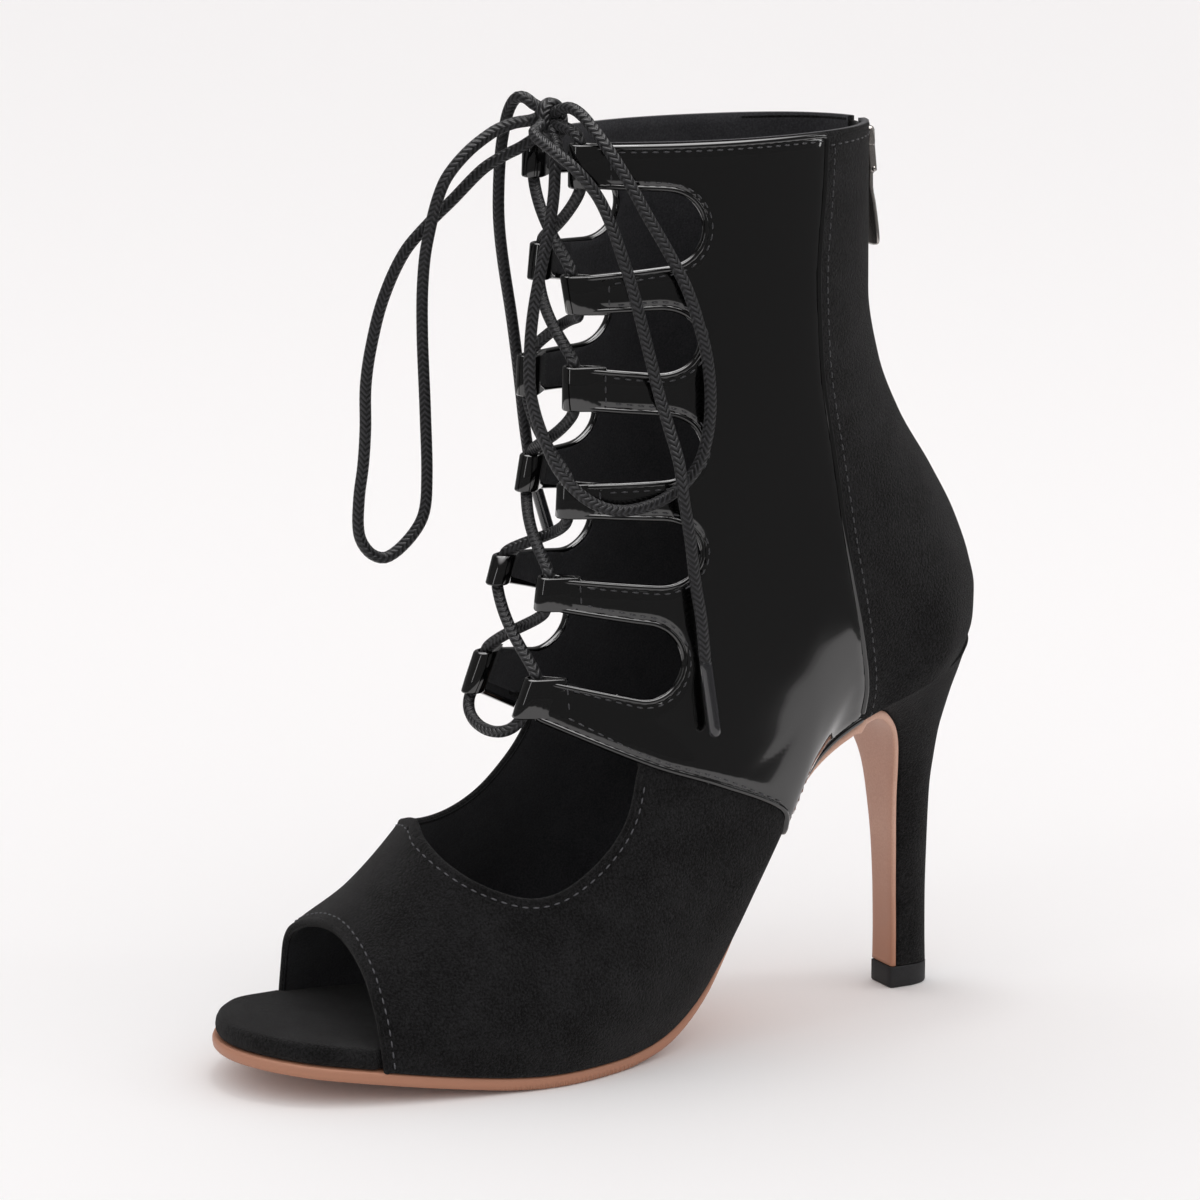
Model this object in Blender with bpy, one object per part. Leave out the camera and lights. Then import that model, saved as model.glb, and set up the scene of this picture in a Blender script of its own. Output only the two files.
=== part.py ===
"""Left peep toe ankle boot: stiletto heel, cut-out laced front, back zip.

Metres, +Z up. The toe points along -Y and the outer (lateral) side of the left foot
faces +X. The origin is on the floor, under the middle of the boot's length and ball width.

Lengths along the boot are shares of LENGTH measured from the toe tip, widths are shares
of BALL_WIDTH, and heights are shares of SEAT_HEIGHT under the seat, or of COLLAR_HEIGHT.
"""

import math
from typing import NamedTuple

import bmesh
import bpy
import numpy as np
from mathutils import Vector

# Driving sizes of the boot
LENGTH = 0.2160
BALL_WIDTH = 0.0800
SEAT_HEIGHT = 0.0975
SHAFT_HEIGHT = 0.1360
COLLAR_HEIGHT = SEAT_HEIGHT + SHAFT_HEIGHT

# Walls, soles and clearances
GAP = 0.0003
UPPER_WALL = 0.0018
INNER_EDGE_LIFT = 0.0009
PANEL_RISE = 0.0007
PANEL_ROOT = 0.0009
INSOLE_INSET = 0.0027
INSOLE_TOE_INSET = 0.0010
INSOLE_EDGE_ROLL = 0.0006
INSOLE_STEP = 0.0008
SOLE_TIP = 0.0003
INSOLE_TOE_THICKNESS = 0.0052
INSOLE_HEEL_THICKNESS = 0.0030
PEEP_CUT = 0.139
BREAST_LEATHER = 0.0016

# Heel and top piece
TOP_PIECE_LIP = 0.0002
HEEL_FLAT = 0.40
HEEL_FRONT_WIDTH = 0.97

# Lace, its folded loops and the bow's knot
LACE_DIAMETER = 0.0030
LACE_CLEARANCE = 0.0004
LOOP_SKIN = 0.0012
LOOP_TAIL = 0.0024
LOOP_REACH = 0.0085
KNOT_CENTRE = (0.0, -0.0145, 0.2380)
KNOT_RADII = (0.0050, 0.0040, 0.0055)
KNOT_ENTRY_DROP = 0.0011
AGLET_RADIUS = 0.0019
LOOP_WRAP = math.radians(105)
BORE_WIDENING = 1.04
BORE_OVERRUN = 0.3
TAIL_SINK = 0.00045

# Back zip
ZIP_WIDTH = 0.0044
ZIP_THICKNESS = 0.0013
ZIP_SINK = 0.0003
ZIP_BOTTOM = 0.51
ZIP_TOP_MARGIN = 0.0012
SLIDER_WIDTH = 0.0074
SLIDER_DEPTH = 0.0026
SLIDER_LENGTH = 0.0090
SLIDER_DROP = 0.0022
EAR_LENGTH = 0.0034
EAR_THICKNESS = 0.0010
EAR_DEPTH = 0.0024
EAR_INSET = 0.0003
SLIDER_ROUNDING = 0.0005
PIN_RADIUS = 0.0007
PIN_CLEARANCE = 0.0004
EYE_SKIN = 0.0007
PULL_LENGTH = 0.0200
PULL_WIDTH = 0.0084
PULL_THICKNESS = 0.0014
PULL_KICK = 0.0014

# Mesh fineness
LEVELS = 20
HEEL_ARC = 6
LOOP_ARC = 6
LACE_SIDES = 8
PIN_SIDES = 12
EYE_SIDES = 16
CROSSING_POINTS = 10
TOP_STRETCH_POINTS = 8
ZIP_ROWS = 14
CORD_STEP = 2.4 * LACE_DIAMETER
OUTLINE_STEPS = 181
SHARP_ANGLE = math.radians(35)

# Where round a slice its points lie, as shares of the slice's own length
RING_SHARES = (
    0.0, 0.005, 0.02, 0.045, 0.08, 0.125, 0.18, 0.24, 0.30, 0.36, 0.42, 0.47, 0.51, 0.55,
    0.585, 0.62, 0.655, 0.69, 0.73, 0.77, 0.81, 0.86, 0.91, 0.955, 0.985, 1.0,
)


class SolePoint(NamedTuple):
    """Heights of the sole at one share of the length, as shares of SEAT_HEIGHT."""

    along: float
    height: float


# Line where the upper meets the sole and the heel, from the toe tip to the back of the seat
JOINT_LINE = (
    SolePoint(0.000, 0.118),
    SolePoint(0.056, 0.106),
    SolePoint(0.134, 0.085),
    SolePoint(0.236, 0.054),
    SolePoint(0.292, 0.040),
    SolePoint(0.338, 0.034),
    SolePoint(0.440, 0.034),
    SolePoint(0.477, 0.042),
    SolePoint(0.505, 0.057),
    SolePoint(0.537, 0.088),
    SolePoint(0.579, 0.154),
    SolePoint(0.606, 0.234),
    SolePoint(0.631, 0.328),
    SolePoint(0.663, 0.482),
    SolePoint(0.690, 0.585),
    SolePoint(0.708, 0.648),
    SolePoint(0.734, 0.724),
    SolePoint(0.764, 0.779),
    SolePoint(0.792, 0.814),
    SolePoint(0.829, 0.852),
    SolePoint(0.993, 1.000),
)


# Outer face of the outsole from the toe to where the arch turns down
OUTSOLE_FACE = (
    SolePoint(0.000, 0.084),
    SolePoint(0.056, 0.072),
    SolePoint(0.134, 0.051),
    SolePoint(0.236, 0.021),
    SolePoint(0.292, 0.006),
    SolePoint(0.338, 0.000),
    SolePoint(0.440, 0.000),
    SolePoint(0.477, 0.009),
    SolePoint(0.505, 0.024),
    SolePoint(0.537, 0.055),
    SolePoint(0.579, 0.126),
    SolePoint(0.606, 0.203),
    SolePoint(0.631, 0.297),
    SolePoint(0.663, 0.453),
    SolePoint(0.690, 0.556),
    SolePoint(0.708, 0.620),
    SolePoint(0.734, 0.697),
    SolePoint(0.764, 0.753),
    SolePoint(0.787, 0.783),
)


class HeelRow(NamedTuple):
    """One level down the heel: the breast leather's outer face, then the heel behind it.

    breast_half and half are half widths, as shares of BALL_WIDTH, and leather is the
    breast's thickness as a share of BREAST_LEATHER.
    """

    breast: float
    breast_height: float
    breast_half: float
    leather: float
    back: float
    back_height: float
    half: float


HEEL_ROWS = (
    HeelRow(0.810, 0.800, 0.262, 1.6, 0.992, 0.994, 0.296),
    HeelRow(0.826, 0.806, 0.244, 1.5, 0.985, 0.958, 0.276),
    HeelRow(0.837, 0.801, 0.230, 1.4, 0.979, 0.912, 0.250),
    HeelRow(0.849, 0.784, 0.212, 1.15, 0.973, 0.860, 0.215),
    HeelRow(0.865, 0.745, 0.175, 1.0, 0.967, 0.800, 0.175),
    HeelRow(0.876, 0.687, 0.136, 1.0, 0.961, 0.730, 0.136),
    HeelRow(0.882, 0.619, 0.106, 1.0, 0.957, 0.650, 0.107),
    HeelRow(0.885, 0.533, 0.086, 1.0, 0.953, 0.550, 0.085),
    HeelRow(0.889, 0.395, 0.070, 1.0, 0.9515, 0.400, 0.070),
    HeelRow(0.891, 0.256, 0.064, 1.0, 0.9505, 0.256, 0.064),
    HeelRow(0.892, 0.138, 0.064, 1.0, 0.951, 0.138, 0.064),
    HeelRow(0.892, 0.063, 0.065, 1.0, 0.952, 0.063, 0.064),
)


class Slice(NamedTuple):
    """One slice through the boot: its front and back points in the middle plane.

    front_height is a share of COLLAR_HEIGHT, shaft is the back point's share of
    SHAFT_HEIGHT above the seat, and sag says how far the slice follows the arch.
    """

    front: float
    front_height: float
    back: float
    shaft: float
    sag: float


SLICES = (
    Slice(0.0005, 0.051, 0.993, 0.003, 1.00),
    Slice(0.042, 0.088, 0.998, 0.048, 0.93),
    Slice(0.095, 0.134, 0.999, 0.099, 0.84),
    Slice(0.167, 0.182, 0.991, 0.158, 0.74),
    Slice(0.231, 0.240, 0.972, 0.239, 0.60),
    Slice(0.287, 0.312, 0.938, 0.335, 0.46),
    Slice(0.324, 0.407, 0.894, 0.445, 0.32),
    Slice(0.356, 0.522, 0.863, 0.562, 0.18),
    Slice(0.380, 0.642, 0.848, 0.695, 0.08),
    Slice(0.389, 0.792, 0.848, 0.827, 0.02),
    Slice(0.389, 1.000, 0.848, 1.000, 0.00),
)


class Girth(NamedTuple):
    """Half widths of one slice at STATIONS, outer side then inner side."""

    level: float
    lateral: tuple
    medial: tuple


# Levels between which the patent quarters are raised
QUARTER_LEVELS = (0.012, 0.996)
# Share of the length where the insole starts to thin, and over which it does
INSOLE_THINS_FROM = 0.40
INSOLE_THINS_OVER = 0.20
# Height of the insole's widest edge, as a share of its thickness
INSOLE_WIDEST = 0.4

# Shares of a slice's own length at which the half widths are given
STATIONS = (0.05, 0.12, 0.22, 0.35, 0.50, 0.65, 0.80, 0.92)
GIRTHS = (
    Girth(
        0.0,
        (0.275, 0.378, 0.455, 0.500, 0.400, 0.269, 0.300, 0.300),
        (0.281, 0.381, 0.475, 0.500, 0.362, 0.237, 0.275, 0.294),
    ),
    Girth(
        0.1,
        (0.275, 0.375, 0.462, 0.512, 0.425, 0.312, 0.325, 0.319),
        (0.300, 0.400, 0.488, 0.512, 0.388, 0.287, 0.312, 0.312),
    ),
    Girth(
        0.2,
        (0.244, 0.338, 0.434, 0.488, 0.431, 0.350, 0.344, 0.312),
        (0.319, 0.406, 0.475, 0.494, 0.412, 0.338, 0.338, 0.312),
    ),
    Girth(
        0.3,
        (0.212, 0.306, 0.394, 0.444, 0.419, 0.375, 0.350, 0.294),
        (0.262, 0.350, 0.419, 0.450, 0.412, 0.362, 0.344, 0.294),
    ),
    Girth(
        0.4,
        (0.181, 0.262, 0.344, 0.400, 0.406, 0.388, 0.350, 0.269),
        (0.225, 0.306, 0.362, 0.400, 0.400, 0.381, 0.350, 0.269),
    ),
    Girth(
        0.5,
        (0.138, 0.212, 0.294, 0.356, 0.388, 0.388, 0.344, 0.250),
        (0.175, 0.244, 0.312, 0.362, 0.388, 0.388, 0.344, 0.250),
    ),
    Girth(
        0.7,
        (0.119, 0.181, 0.250, 0.312, 0.356, 0.356, 0.306, 0.212),
        (0.119, 0.181, 0.250, 0.312, 0.356, 0.356, 0.306, 0.212),
    ),
    Girth(
        1.0,
        (0.119, 0.181, 0.244, 0.300, 0.325, 0.312, 0.269, 0.188),
        (0.119, 0.181, 0.244, 0.300, 0.325, 0.312, 0.269, 0.188),
    ),
)


class Finger(NamedTuple):
    """Tip of one strap finger: where its folded loop's top and bottom ends lie."""

    name: str
    top_along: float
    bottom_along: float
    top: float
    bottom: float


LATERAL_FINGERS = (
    Finger("6", 0.426, 0.426, 0.9985, 0.951),
    Finger("5", 0.418, 0.424, 0.858, 0.816),
    Finger("4", 0.420, 0.419, 0.760, 0.712),
    Finger("3", 0.412, 0.409, 0.634, 0.596),
    Finger("2", 0.388, 0.382, 0.533, 0.496),
    Finger("1", 0.368, 0.351, 0.424, 0.381),
)
MEDIAL_FINGERS = (
    Finger("6", 0.426, 0.424, 0.990, 0.951),
    Finger("5", 0.440, 0.434, 0.878, 0.838),
    Finger("4", 0.414, 0.412, 0.759, 0.714),
    Finger("3", 0.424, 0.415, 0.647, 0.606),
    Finger("2", 0.376, 0.362, 0.543, 0.512),
    Finger("1", 0.355, 0.336, 0.436, 0.391),
)


class CutOut(NamedTuple):
    """One open cut-out between two fingers: its closed rear end."""

    rear: float
    top: float
    bottom: float


LATERAL_CUTOUTS = (
    CutOut(0.570, 0.947, 0.868),
    CutOut(0.565, 0.820, 0.753),
    CutOut(0.566, 0.706, 0.637),
    CutOut(0.563, 0.592, 0.523),
    CutOut(0.538, 0.480, 0.400),
)
MEDIAL_CUTOUTS = (
    CutOut(0.579, 0.945, 0.874),
    CutOut(0.569, 0.825, 0.757),
    CutOut(0.549, 0.709, 0.647),
    CutOut(0.546, 0.596, 0.528),
    CutOut(0.512, 0.486, 0.418),
)
CUTOUT_NOSE = 0.044
CUTOUT_ARC = 5


class Trace(NamedTuple):
    """One point of an edge seen from the side, height as a share of COLLAR_HEIGHT."""

    along: float
    height: float


# Throat of the vamp, from its crest down each side and back up to the first finger
LATERAL_THROAT = (
    Trace(0.248, 0.284),
    Trace(0.251, 0.246),
    Trace(0.269, 0.226),
    Trace(0.296, 0.211),
    Trace(0.333, 0.200),
    Trace(0.366, 0.203),
    Trace(0.400, 0.218),
    Trace(0.436, 0.244),
    Trace(0.463, 0.277),
    Trace(0.482, 0.328),
)
MEDIAL_THROAT = (
    Trace(0.248, 0.284),
    Trace(0.262, 0.258),
    Trace(0.289, 0.245),
    Trace(0.320, 0.240),
    Trace(0.350, 0.242),
    Trace(0.378, 0.251),
    Trace(0.402, 0.265),
    Trace(0.424, 0.285),
    Trace(0.446, 0.310),
    Trace(0.460, 0.338),
    Trace(0.450, 0.360),
    Trace(0.430, 0.369),
)
# Rear seam of the patent quarter, from the collar down to the sole
QUARTER_SEAM = (
    Trace(0.746, 1.030),
    Trace(0.741, 0.950),
    Trace(0.729, 0.835),
    Trace(0.732, 0.752),
    Trace(0.746, 0.654),
    Trace(0.759, 0.552),
    Trace(0.783, 0.436),
    Trace(0.795, 0.367),
    Trace(0.790, 0.300),
)
# Lower edge of the patent quarter, from the sole forward to the first finger
QUARTER_EDGE = (
    Trace(0.668, 0.235),
    Trace(0.664, 0.261),
    Trace(0.579, 0.298),
    Trace(0.496, 0.326),
)
FRONT_LIMIT = 0.225
ABOVE_COLLAR = 1.10


class CordPoint(NamedTuple):
    """One point of a free lace route, in metres."""

    x: float
    y: float
    z: float


# Free stretches of the lace, as they hang
BOW_LOOP_MEDIAL = (
    CordPoint(-0.0030, -0.0178, 0.2328),
    CordPoint(-0.0053, -0.0203, 0.2306),
    CordPoint(-0.0080, -0.0231, 0.2286),
    CordPoint(-0.0120, -0.0273, 0.2249),
    CordPoint(-0.0170, -0.0335, 0.2168),
    CordPoint(-0.0200, -0.0385, 0.2110),
    CordPoint(-0.0230, -0.0441, 0.2034),
    CordPoint(-0.0260, -0.0486, 0.1916),
    CordPoint(-0.0280, -0.0512, 0.1790),
    CordPoint(-0.0290, -0.0523, 0.1690),
    CordPoint(-0.0290, -0.0525, 0.1579),
    CordPoint(-0.0290, -0.0532, 0.1490),
    CordPoint(-0.0290, -0.0545, 0.1400),
    CordPoint(-0.0290, -0.0545, 0.1309),
    CordPoint(-0.0280, -0.0520, 0.1262),
    CordPoint(-0.0270, -0.0480, 0.1248),
    CordPoint(-0.0255, -0.0425, 0.1290),
    CordPoint(-0.0240, -0.0388, 0.1354),
    CordPoint(-0.0238, -0.0378, 0.1444),
    CordPoint(-0.0238, -0.0381, 0.1621),
    CordPoint(-0.0225, -0.0394, 0.1822),
    CordPoint(-0.0200, -0.0404, 0.1957),
    CordPoint(-0.0170, -0.0405, 0.2067),
    CordPoint(-0.0120, -0.0386, 0.2214),
    CordPoint(-0.0090, -0.0342, 0.2289),
    CordPoint(-0.0075, -0.0270, 0.2345),
    CordPoint(-0.0051, -0.0225, 0.2368),
    CordPoint(-0.0027, -0.0188, 0.2376),
)
BOW_LOOP_LATERAL = (
    CordPoint(0.0041, -0.0155, 0.2342),
    CordPoint(0.0066, -0.0160, 0.2319),
    CordPoint(0.0090, -0.0178, 0.2287),
    CordPoint(0.0115, -0.0196, 0.2207),
    CordPoint(0.0136, -0.0222, 0.2117),
    CordPoint(0.0148, -0.0250, 0.2026),
    CordPoint(0.0150, -0.0271, 0.1930),
    CordPoint(0.0150, -0.0281, 0.1840),
    CordPoint(0.0150, -0.0282, 0.1741),
    CordPoint(0.0157, -0.0272, 0.1675),
    CordPoint(0.0170, -0.0253, 0.1608),
    CordPoint(0.0190, -0.0222, 0.1529),
    CordPoint(0.0211, -0.0168, 0.1463),
    CordPoint(0.0231, -0.0114, 0.1430),
    CordPoint(0.0252, -0.0059, 0.1423),
    CordPoint(0.0280, 0.0004, 0.1441),
    CordPoint(0.0300, 0.0064, 0.1480),
    CordPoint(0.0309, 0.0110, 0.1536),
    CordPoint(0.0312, 0.0133, 0.1610),
    CordPoint(0.0312, 0.0141, 0.1695),
    CordPoint(0.0310, 0.0133, 0.1792),
    CordPoint(0.0305, 0.0119, 0.1860),
    CordPoint(0.0290, 0.0088, 0.1968),
    CordPoint(0.0272, 0.0043, 0.2066),
    CordPoint(0.0254, -0.0008, 0.2160),
    CordPoint(0.0232, -0.0050, 0.2246),
    CordPoint(0.0203, -0.0086, 0.2318),
    CordPoint(0.0164, -0.0106, 0.2365),
    CordPoint(0.0120, -0.0121, 0.2402),
    CordPoint(0.0083, -0.0133, 0.2416),
    CordPoint(0.0050, -0.0141, 0.2409),
)
END_LATERAL = (
    CordPoint(0.0025, -0.0190, 0.2363),
    CordPoint(0.0039, -0.0211, 0.2355),
    CordPoint(0.0066, -0.0216, 0.2345),
    CordPoint(0.0102, -0.0212, 0.2332),
    CordPoint(0.0145, -0.0196, 0.2308),
    CordPoint(0.0180, -0.0168, 0.2275),
    CordPoint(0.0203, -0.0122, 0.2212),
    CordPoint(0.0220, -0.0094, 0.2145),
    CordPoint(0.0235, -0.0072, 0.2070),
    CordPoint(0.0246, -0.0049, 0.1992),
    CordPoint(0.0258, -0.0027, 0.1897),
    CordPoint(0.0268, -0.0009, 0.1814),
    CordPoint(0.0283, 0.0010, 0.1717),
    CordPoint(0.0302, 0.0029, 0.1631),
    CordPoint(0.0324, 0.0045, 0.1546),
    CordPoint(0.0336, 0.0052, 0.1457),
    CordPoint(0.0335, 0.0071, 0.1355),
    CordPoint(0.0332, 0.0088, 0.1240),
    CordPoint(0.0338, 0.0102, 0.1148),
    CordPoint(0.0345, 0.0110, 0.1043),
)
END_MEDIAL = (
    CordPoint(-0.0036, -0.0176, 0.2417),
    CordPoint(-0.0051, -0.0190, 0.2431),
    CordPoint(-0.0076, -0.0201, 0.2428),
    CordPoint(-0.0105, -0.0207, 0.2396),
    CordPoint(-0.0129, -0.0208, 0.2347),
    CordPoint(-0.0150, -0.0207, 0.2290),
    CordPoint(-0.0175, -0.0201, 0.2200),
    CordPoint(-0.0197, -0.0190, 0.2105),
    CordPoint(-0.0221, -0.0167, 0.2000),
    CordPoint(-0.0248, -0.0128, 0.1840),
    CordPoint(-0.0268, -0.0098, 0.1690),
    CordPoint(-0.0284, -0.0075, 0.1560),
    CordPoint(-0.0298, -0.0050, 0.1437),
)
AGLET_LATERAL = (CordPoint(0.0345, 0.0111, 0.1037), CordPoint(0.0360, 0.0131, 0.0853))
AGLET_MEDIAL = (CordPoint(-0.0299, -0.0048, 0.1431), CordPoint(-0.0312, 0.0012, 0.1256))
BOTTOM_BAR_DROP = 0.0085
BOTTOM_BAR_REACH = 0.0050
BOTTOM_BAR_TENSION = 3
CROSSING_BULGE = 0.0014
CROSSING_LIFT = 0.40
CROSSING_SQUEEZE = 0.72



class PullRow(NamedTuple):
    """One level down the pull tab: share of PULL_LENGTH, and of PULL_WIDTH / 2."""

    drop: float
    width: float


PULL_FOOT = (
    PullRow(0.36, 0.72),
    PullRow(0.80, 1.00),
    PullRow(0.95, 0.92),
    PullRow(1.00, 0.70),
)
# Where the pull's narrow neck starts and ends, as shares of PULL_LENGTH
PULL_NECK = (0.05, 0.24)

# Colours, linear RGB
SUEDE_BLACK = (0.010, 0.010, 0.011)
PATENT_BLACK = (0.004, 0.004, 0.005)
SOLE_TAN = (0.52, 0.27, 0.18)
RUBBER_GREY = (0.020, 0.020, 0.022)
LACE_BLACK = (0.014, 0.014, 0.015)
ZIP_BLACK = (0.012, 0.012, 0.012)
GUNMETAL = (0.16, 0.16, 0.17)
AGLET_CLEAR = (0.35, 0.35, 0.36)

LATERAL = 1
MEDIAL = -1
SIDE_NAMES = {LATERAL: "lateral", MEDIAL: "medial"}
FINGER_TABLES = {LATERAL: LATERAL_FINGERS, MEDIAL: MEDIAL_FINGERS}
CUTOUT_TABLES = {LATERAL: LATERAL_CUTOUTS, MEDIAL: MEDIAL_CUTOUTS}
THROATS = {LATERAL: LATERAL_THROAT, MEDIAL: MEDIAL_THROAT}


def along(share):
    """Y of a share of the length, measured from the toe tip."""
    return (share - 0.5) * LENGTH


def smooth(xs, ys, x):
    """Monotone cubic through the table (xs, ys), which never overshoots a row."""
    xs = np.asarray(xs, float)
    ys = np.asarray(ys, float).reshape(len(xs), -1)
    step = np.diff(xs)[:, None]
    slope = np.diff(ys, axis=0) / step
    tangent = np.zeros_like(ys)
    tangent[0] = slope[0]
    tangent[-1] = slope[-1]
    before = slope[:-1]
    after = slope[1:]
    same = before * after > 0
    weight_a = 2 * step[1:] + step[:-1]
    weight_b = step[1:] + 2 * step[:-1]
    safe_a = np.where(same, before, 1.0)
    safe_b = np.where(same, after, 1.0)
    harmonic = (weight_a + weight_b) / (weight_a / safe_a + weight_b / safe_b)
    tangent[1:-1] = np.where(same, harmonic, 0.0)
    x = np.clip(np.atleast_1d(np.asarray(x, float)), xs[0], xs[-1])
    i = np.clip(np.searchsorted(xs, x, side="right") - 1, 0, len(xs) - 2)
    h = (xs[i + 1] - xs[i])[:, None]
    t = (x - xs[i])[:, None] / h
    value = (
        (1 + 2 * t) * (1 - t) ** 2 * ys[i]
        + t * (1 - t) ** 2 * h * tangent[i]
        + t * t * (3 - 2 * t) * ys[i + 1]
        + t * t * (t - 1) * h * tangent[i + 1]
    )
    return value


def curve_height(table, y):
    """Height of a smooth sole line at Y."""
    share = np.asarray(y, float) / LENGTH + 0.5
    rows = smooth([row.along for row in table], [row.height for row in table], share)
    return rows[:, 0] * SEAT_HEIGHT


def sole_height(table, y):
    """Height of a sole line at Y, straight between the stations that all its pieces share."""
    front = along(SLICES[0].front)
    stations = front + (along(SLICES[0].back) - front) * np.array(RING_SHARES)
    return np.interp(y, stations, curve_height(table, stations))


def slice_row(level):
    """Front y, front z, back y, back z and sag of the slice at a level from 0 to 1."""
    rows = [
        (
            along(row.front),
            row.front_height * COLLAR_HEIGHT,
            along(row.back),
            SEAT_HEIGHT + row.shaft * SHAFT_HEIGHT,
            row.sag,
        )
        for row in SLICES
    ]
    return smooth(np.linspace(0, 1, len(rows)), rows, level)[0]


def station_angle(share):
    """Angle round a slice at a share of its length from the front."""
    return math.acos(1 - 2 * share)


def bluntness(side):
    """Half widths over the sine of their angles, with one row for each girth."""
    angles = [station_angle(share) for share in STATIONS]
    rows = []
    for girth in GIRTHS:
        widths = girth.lateral if side == LATERAL else girth.medial
        ratio = [width * BALL_WIDTH / math.sin(a) for width, a in zip(widths, angles)]
        rows.append([ratio[0], *ratio, ratio[-1]])
    return [0.0, *angles, math.pi], rows


BLUNTNESS = {side: bluntness(side) for side in (LATERAL, MEDIAL)}


def half_width(level, angle, side):
    """Half width of a slice at an angle from its front."""
    angles, rows = BLUNTNESS[side]
    ratio = smooth([girth.level for girth in GIRTHS], rows, level)[0]
    return smooth(angles, ratio, angle)[0, 0] * math.sin(angle)


def last_point(level, angle, side):
    """A point of the upper's outer face, with the angle from 0 in front to pi behind."""
    front_y, front_z, back_y, back_z, sag = slice_row(level)
    share = (1 - math.cos(angle)) / 2
    y = front_y + (back_y - front_y) * share
    base = slice_row(0.0)
    base_y = base[0] + (base[2] - base[0]) * share
    base_chord = base[1] + (base[3] - base[1]) * share
    arch = float(sole_height(JOINT_LINE, base_y)) + GAP - base_chord
    z = front_z + (back_z - front_z) * share + sag * arch
    return (side * half_width(level, angle, side), y, z)


def last_grid(first, last, levels):
    """Rings of points of the upper's outer face, one ring for each level."""
    angles = [station_angle(share) for share in RING_SHARES]
    grid = []
    for level in np.linspace(first, last, levels):
        ring = [last_point(level, angle, LATERAL) for angle in angles]
        ring += [last_point(level, angle, MEDIAL) for angle in reversed(angles[1:-1])]
        grid.append(ring)
    return np.array(grid)


def grid_normals(grid):
    """Outward unit normals of a grid of rings."""
    around = np.roll(grid, -1, axis=1) - np.roll(grid, 1, axis=1)
    up = np.gradient(grid, axis=0)
    normals = np.cross(around, up)
    return normals / np.linalg.norm(normals, axis=2, keepdims=True)


def side_x(y, z, side):
    """X of the upper's outer face at a height and a place along the boot."""
    low, high = 0.0, 1.0
    for _ in range(30):
        middle = (low + high) / 2
        row = slice_row(middle)
        share = min(max((y - row[0]) / (row[2] - row[0]), 0.0), 1.0)
        if last_point(middle, station_angle(share), side)[2] < z:
            low = middle
        else:
            high = middle
    return side * half_width(middle, station_angle(share), side)


def back_line(z):
    """Y of the back seam at a height."""
    levels = np.linspace(0, 1, 101)
    rows = np.array([slice_row(level) for level in levels])
    return float(np.interp(z, rows[:, 3], rows[:, 2]))


def make_material(name, colour, roughness, metallic=0.0, coat=0.0):
    """A plain Principled material."""
    material = bpy.data.materials.new(name)
    material.use_nodes = True
    shader = material.node_tree.nodes["Principled BSDF"]
    shader.inputs["Base Color"].default_value = (*colour, 1.0)
    shader.inputs["Roughness"].default_value = roughness
    shader.inputs["Metallic"].default_value = metallic
    shader.inputs["Coat Weight"].default_value = coat
    return material


def add_mesh(name, points, faces, material=None, helper=False):
    """A mesh object from points and faces, with its faces turned outwards."""
    mesh = bpy.data.meshes.new(name)
    mesh.from_pydata([tuple(map(float, point)) for point in points], [], faces)
    work = bmesh.new()
    work.from_mesh(mesh)
    bmesh.ops.recalc_face_normals(work, faces=work.faces)
    work.to_mesh(mesh)
    work.free()
    obj = bpy.data.objects.new(name, mesh)
    bpy.context.scene.collection.objects.link(obj)
    if material is not None:
        mesh.materials.append(material)
    mesh.shade_smooth()
    mesh.set_sharp_from_angle(angle=SHARP_ANGLE)
    if helper:
        obj.hide_render = True
        obj.display_type = "WIRE"
    return obj


def boolean(target, operation, other):
    """Adds an exact Boolean to the target object."""
    modifier = target.modifiers.new(f"{operation.lower()} {other.name}", "BOOLEAN")
    modifier.operation = operation
    modifier.object = other
    modifier.solver = "EXACT"


def prism(name, outline, x_from, x_to):
    """A helper solid: an outline of (y, z) points extruded along X."""
    work = bmesh.new()
    verts = [work.verts.new((x_from, y, z)) for y, z in outline]
    face = work.faces.new(verts)
    grown = bmesh.ops.extrude_face_region(work, geom=[face])
    moved = [item for item in grown["geom"] if isinstance(item, bmesh.types.BMVert)]
    bmesh.ops.translate(work, vec=(x_to - x_from, 0, 0), verts=moved)
    bmesh.ops.recalc_face_normals(work, faces=work.faces)
    mesh = bpy.data.meshes.new(name)
    work.to_mesh(mesh)
    work.free()
    obj = bpy.data.objects.new(name, mesh)
    bpy.context.scene.collection.objects.link(obj)
    obj.hide_render = True
    obj.display_type = "WIRE"
    return obj


def block(name, centre, size, material=None, helper=False):
    """A box as a mesh object."""
    x, y, z = centre
    dx, dy, dz = (side / 2 for side in size)
    points = [
        (x + i * dx, y + j * dy, z + k * dz)
        for i in (-1, 1)
        for j in (-1, 1)
        for k in (-1, 1)
    ]
    faces = [(0, 1, 3, 2), (4, 5, 7, 6), (0, 1, 5, 4), (2, 3, 7, 6), (0, 2, 6, 4), (1, 3, 7, 5)]
    return add_mesh(name, points, faces, material, helper)


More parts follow.
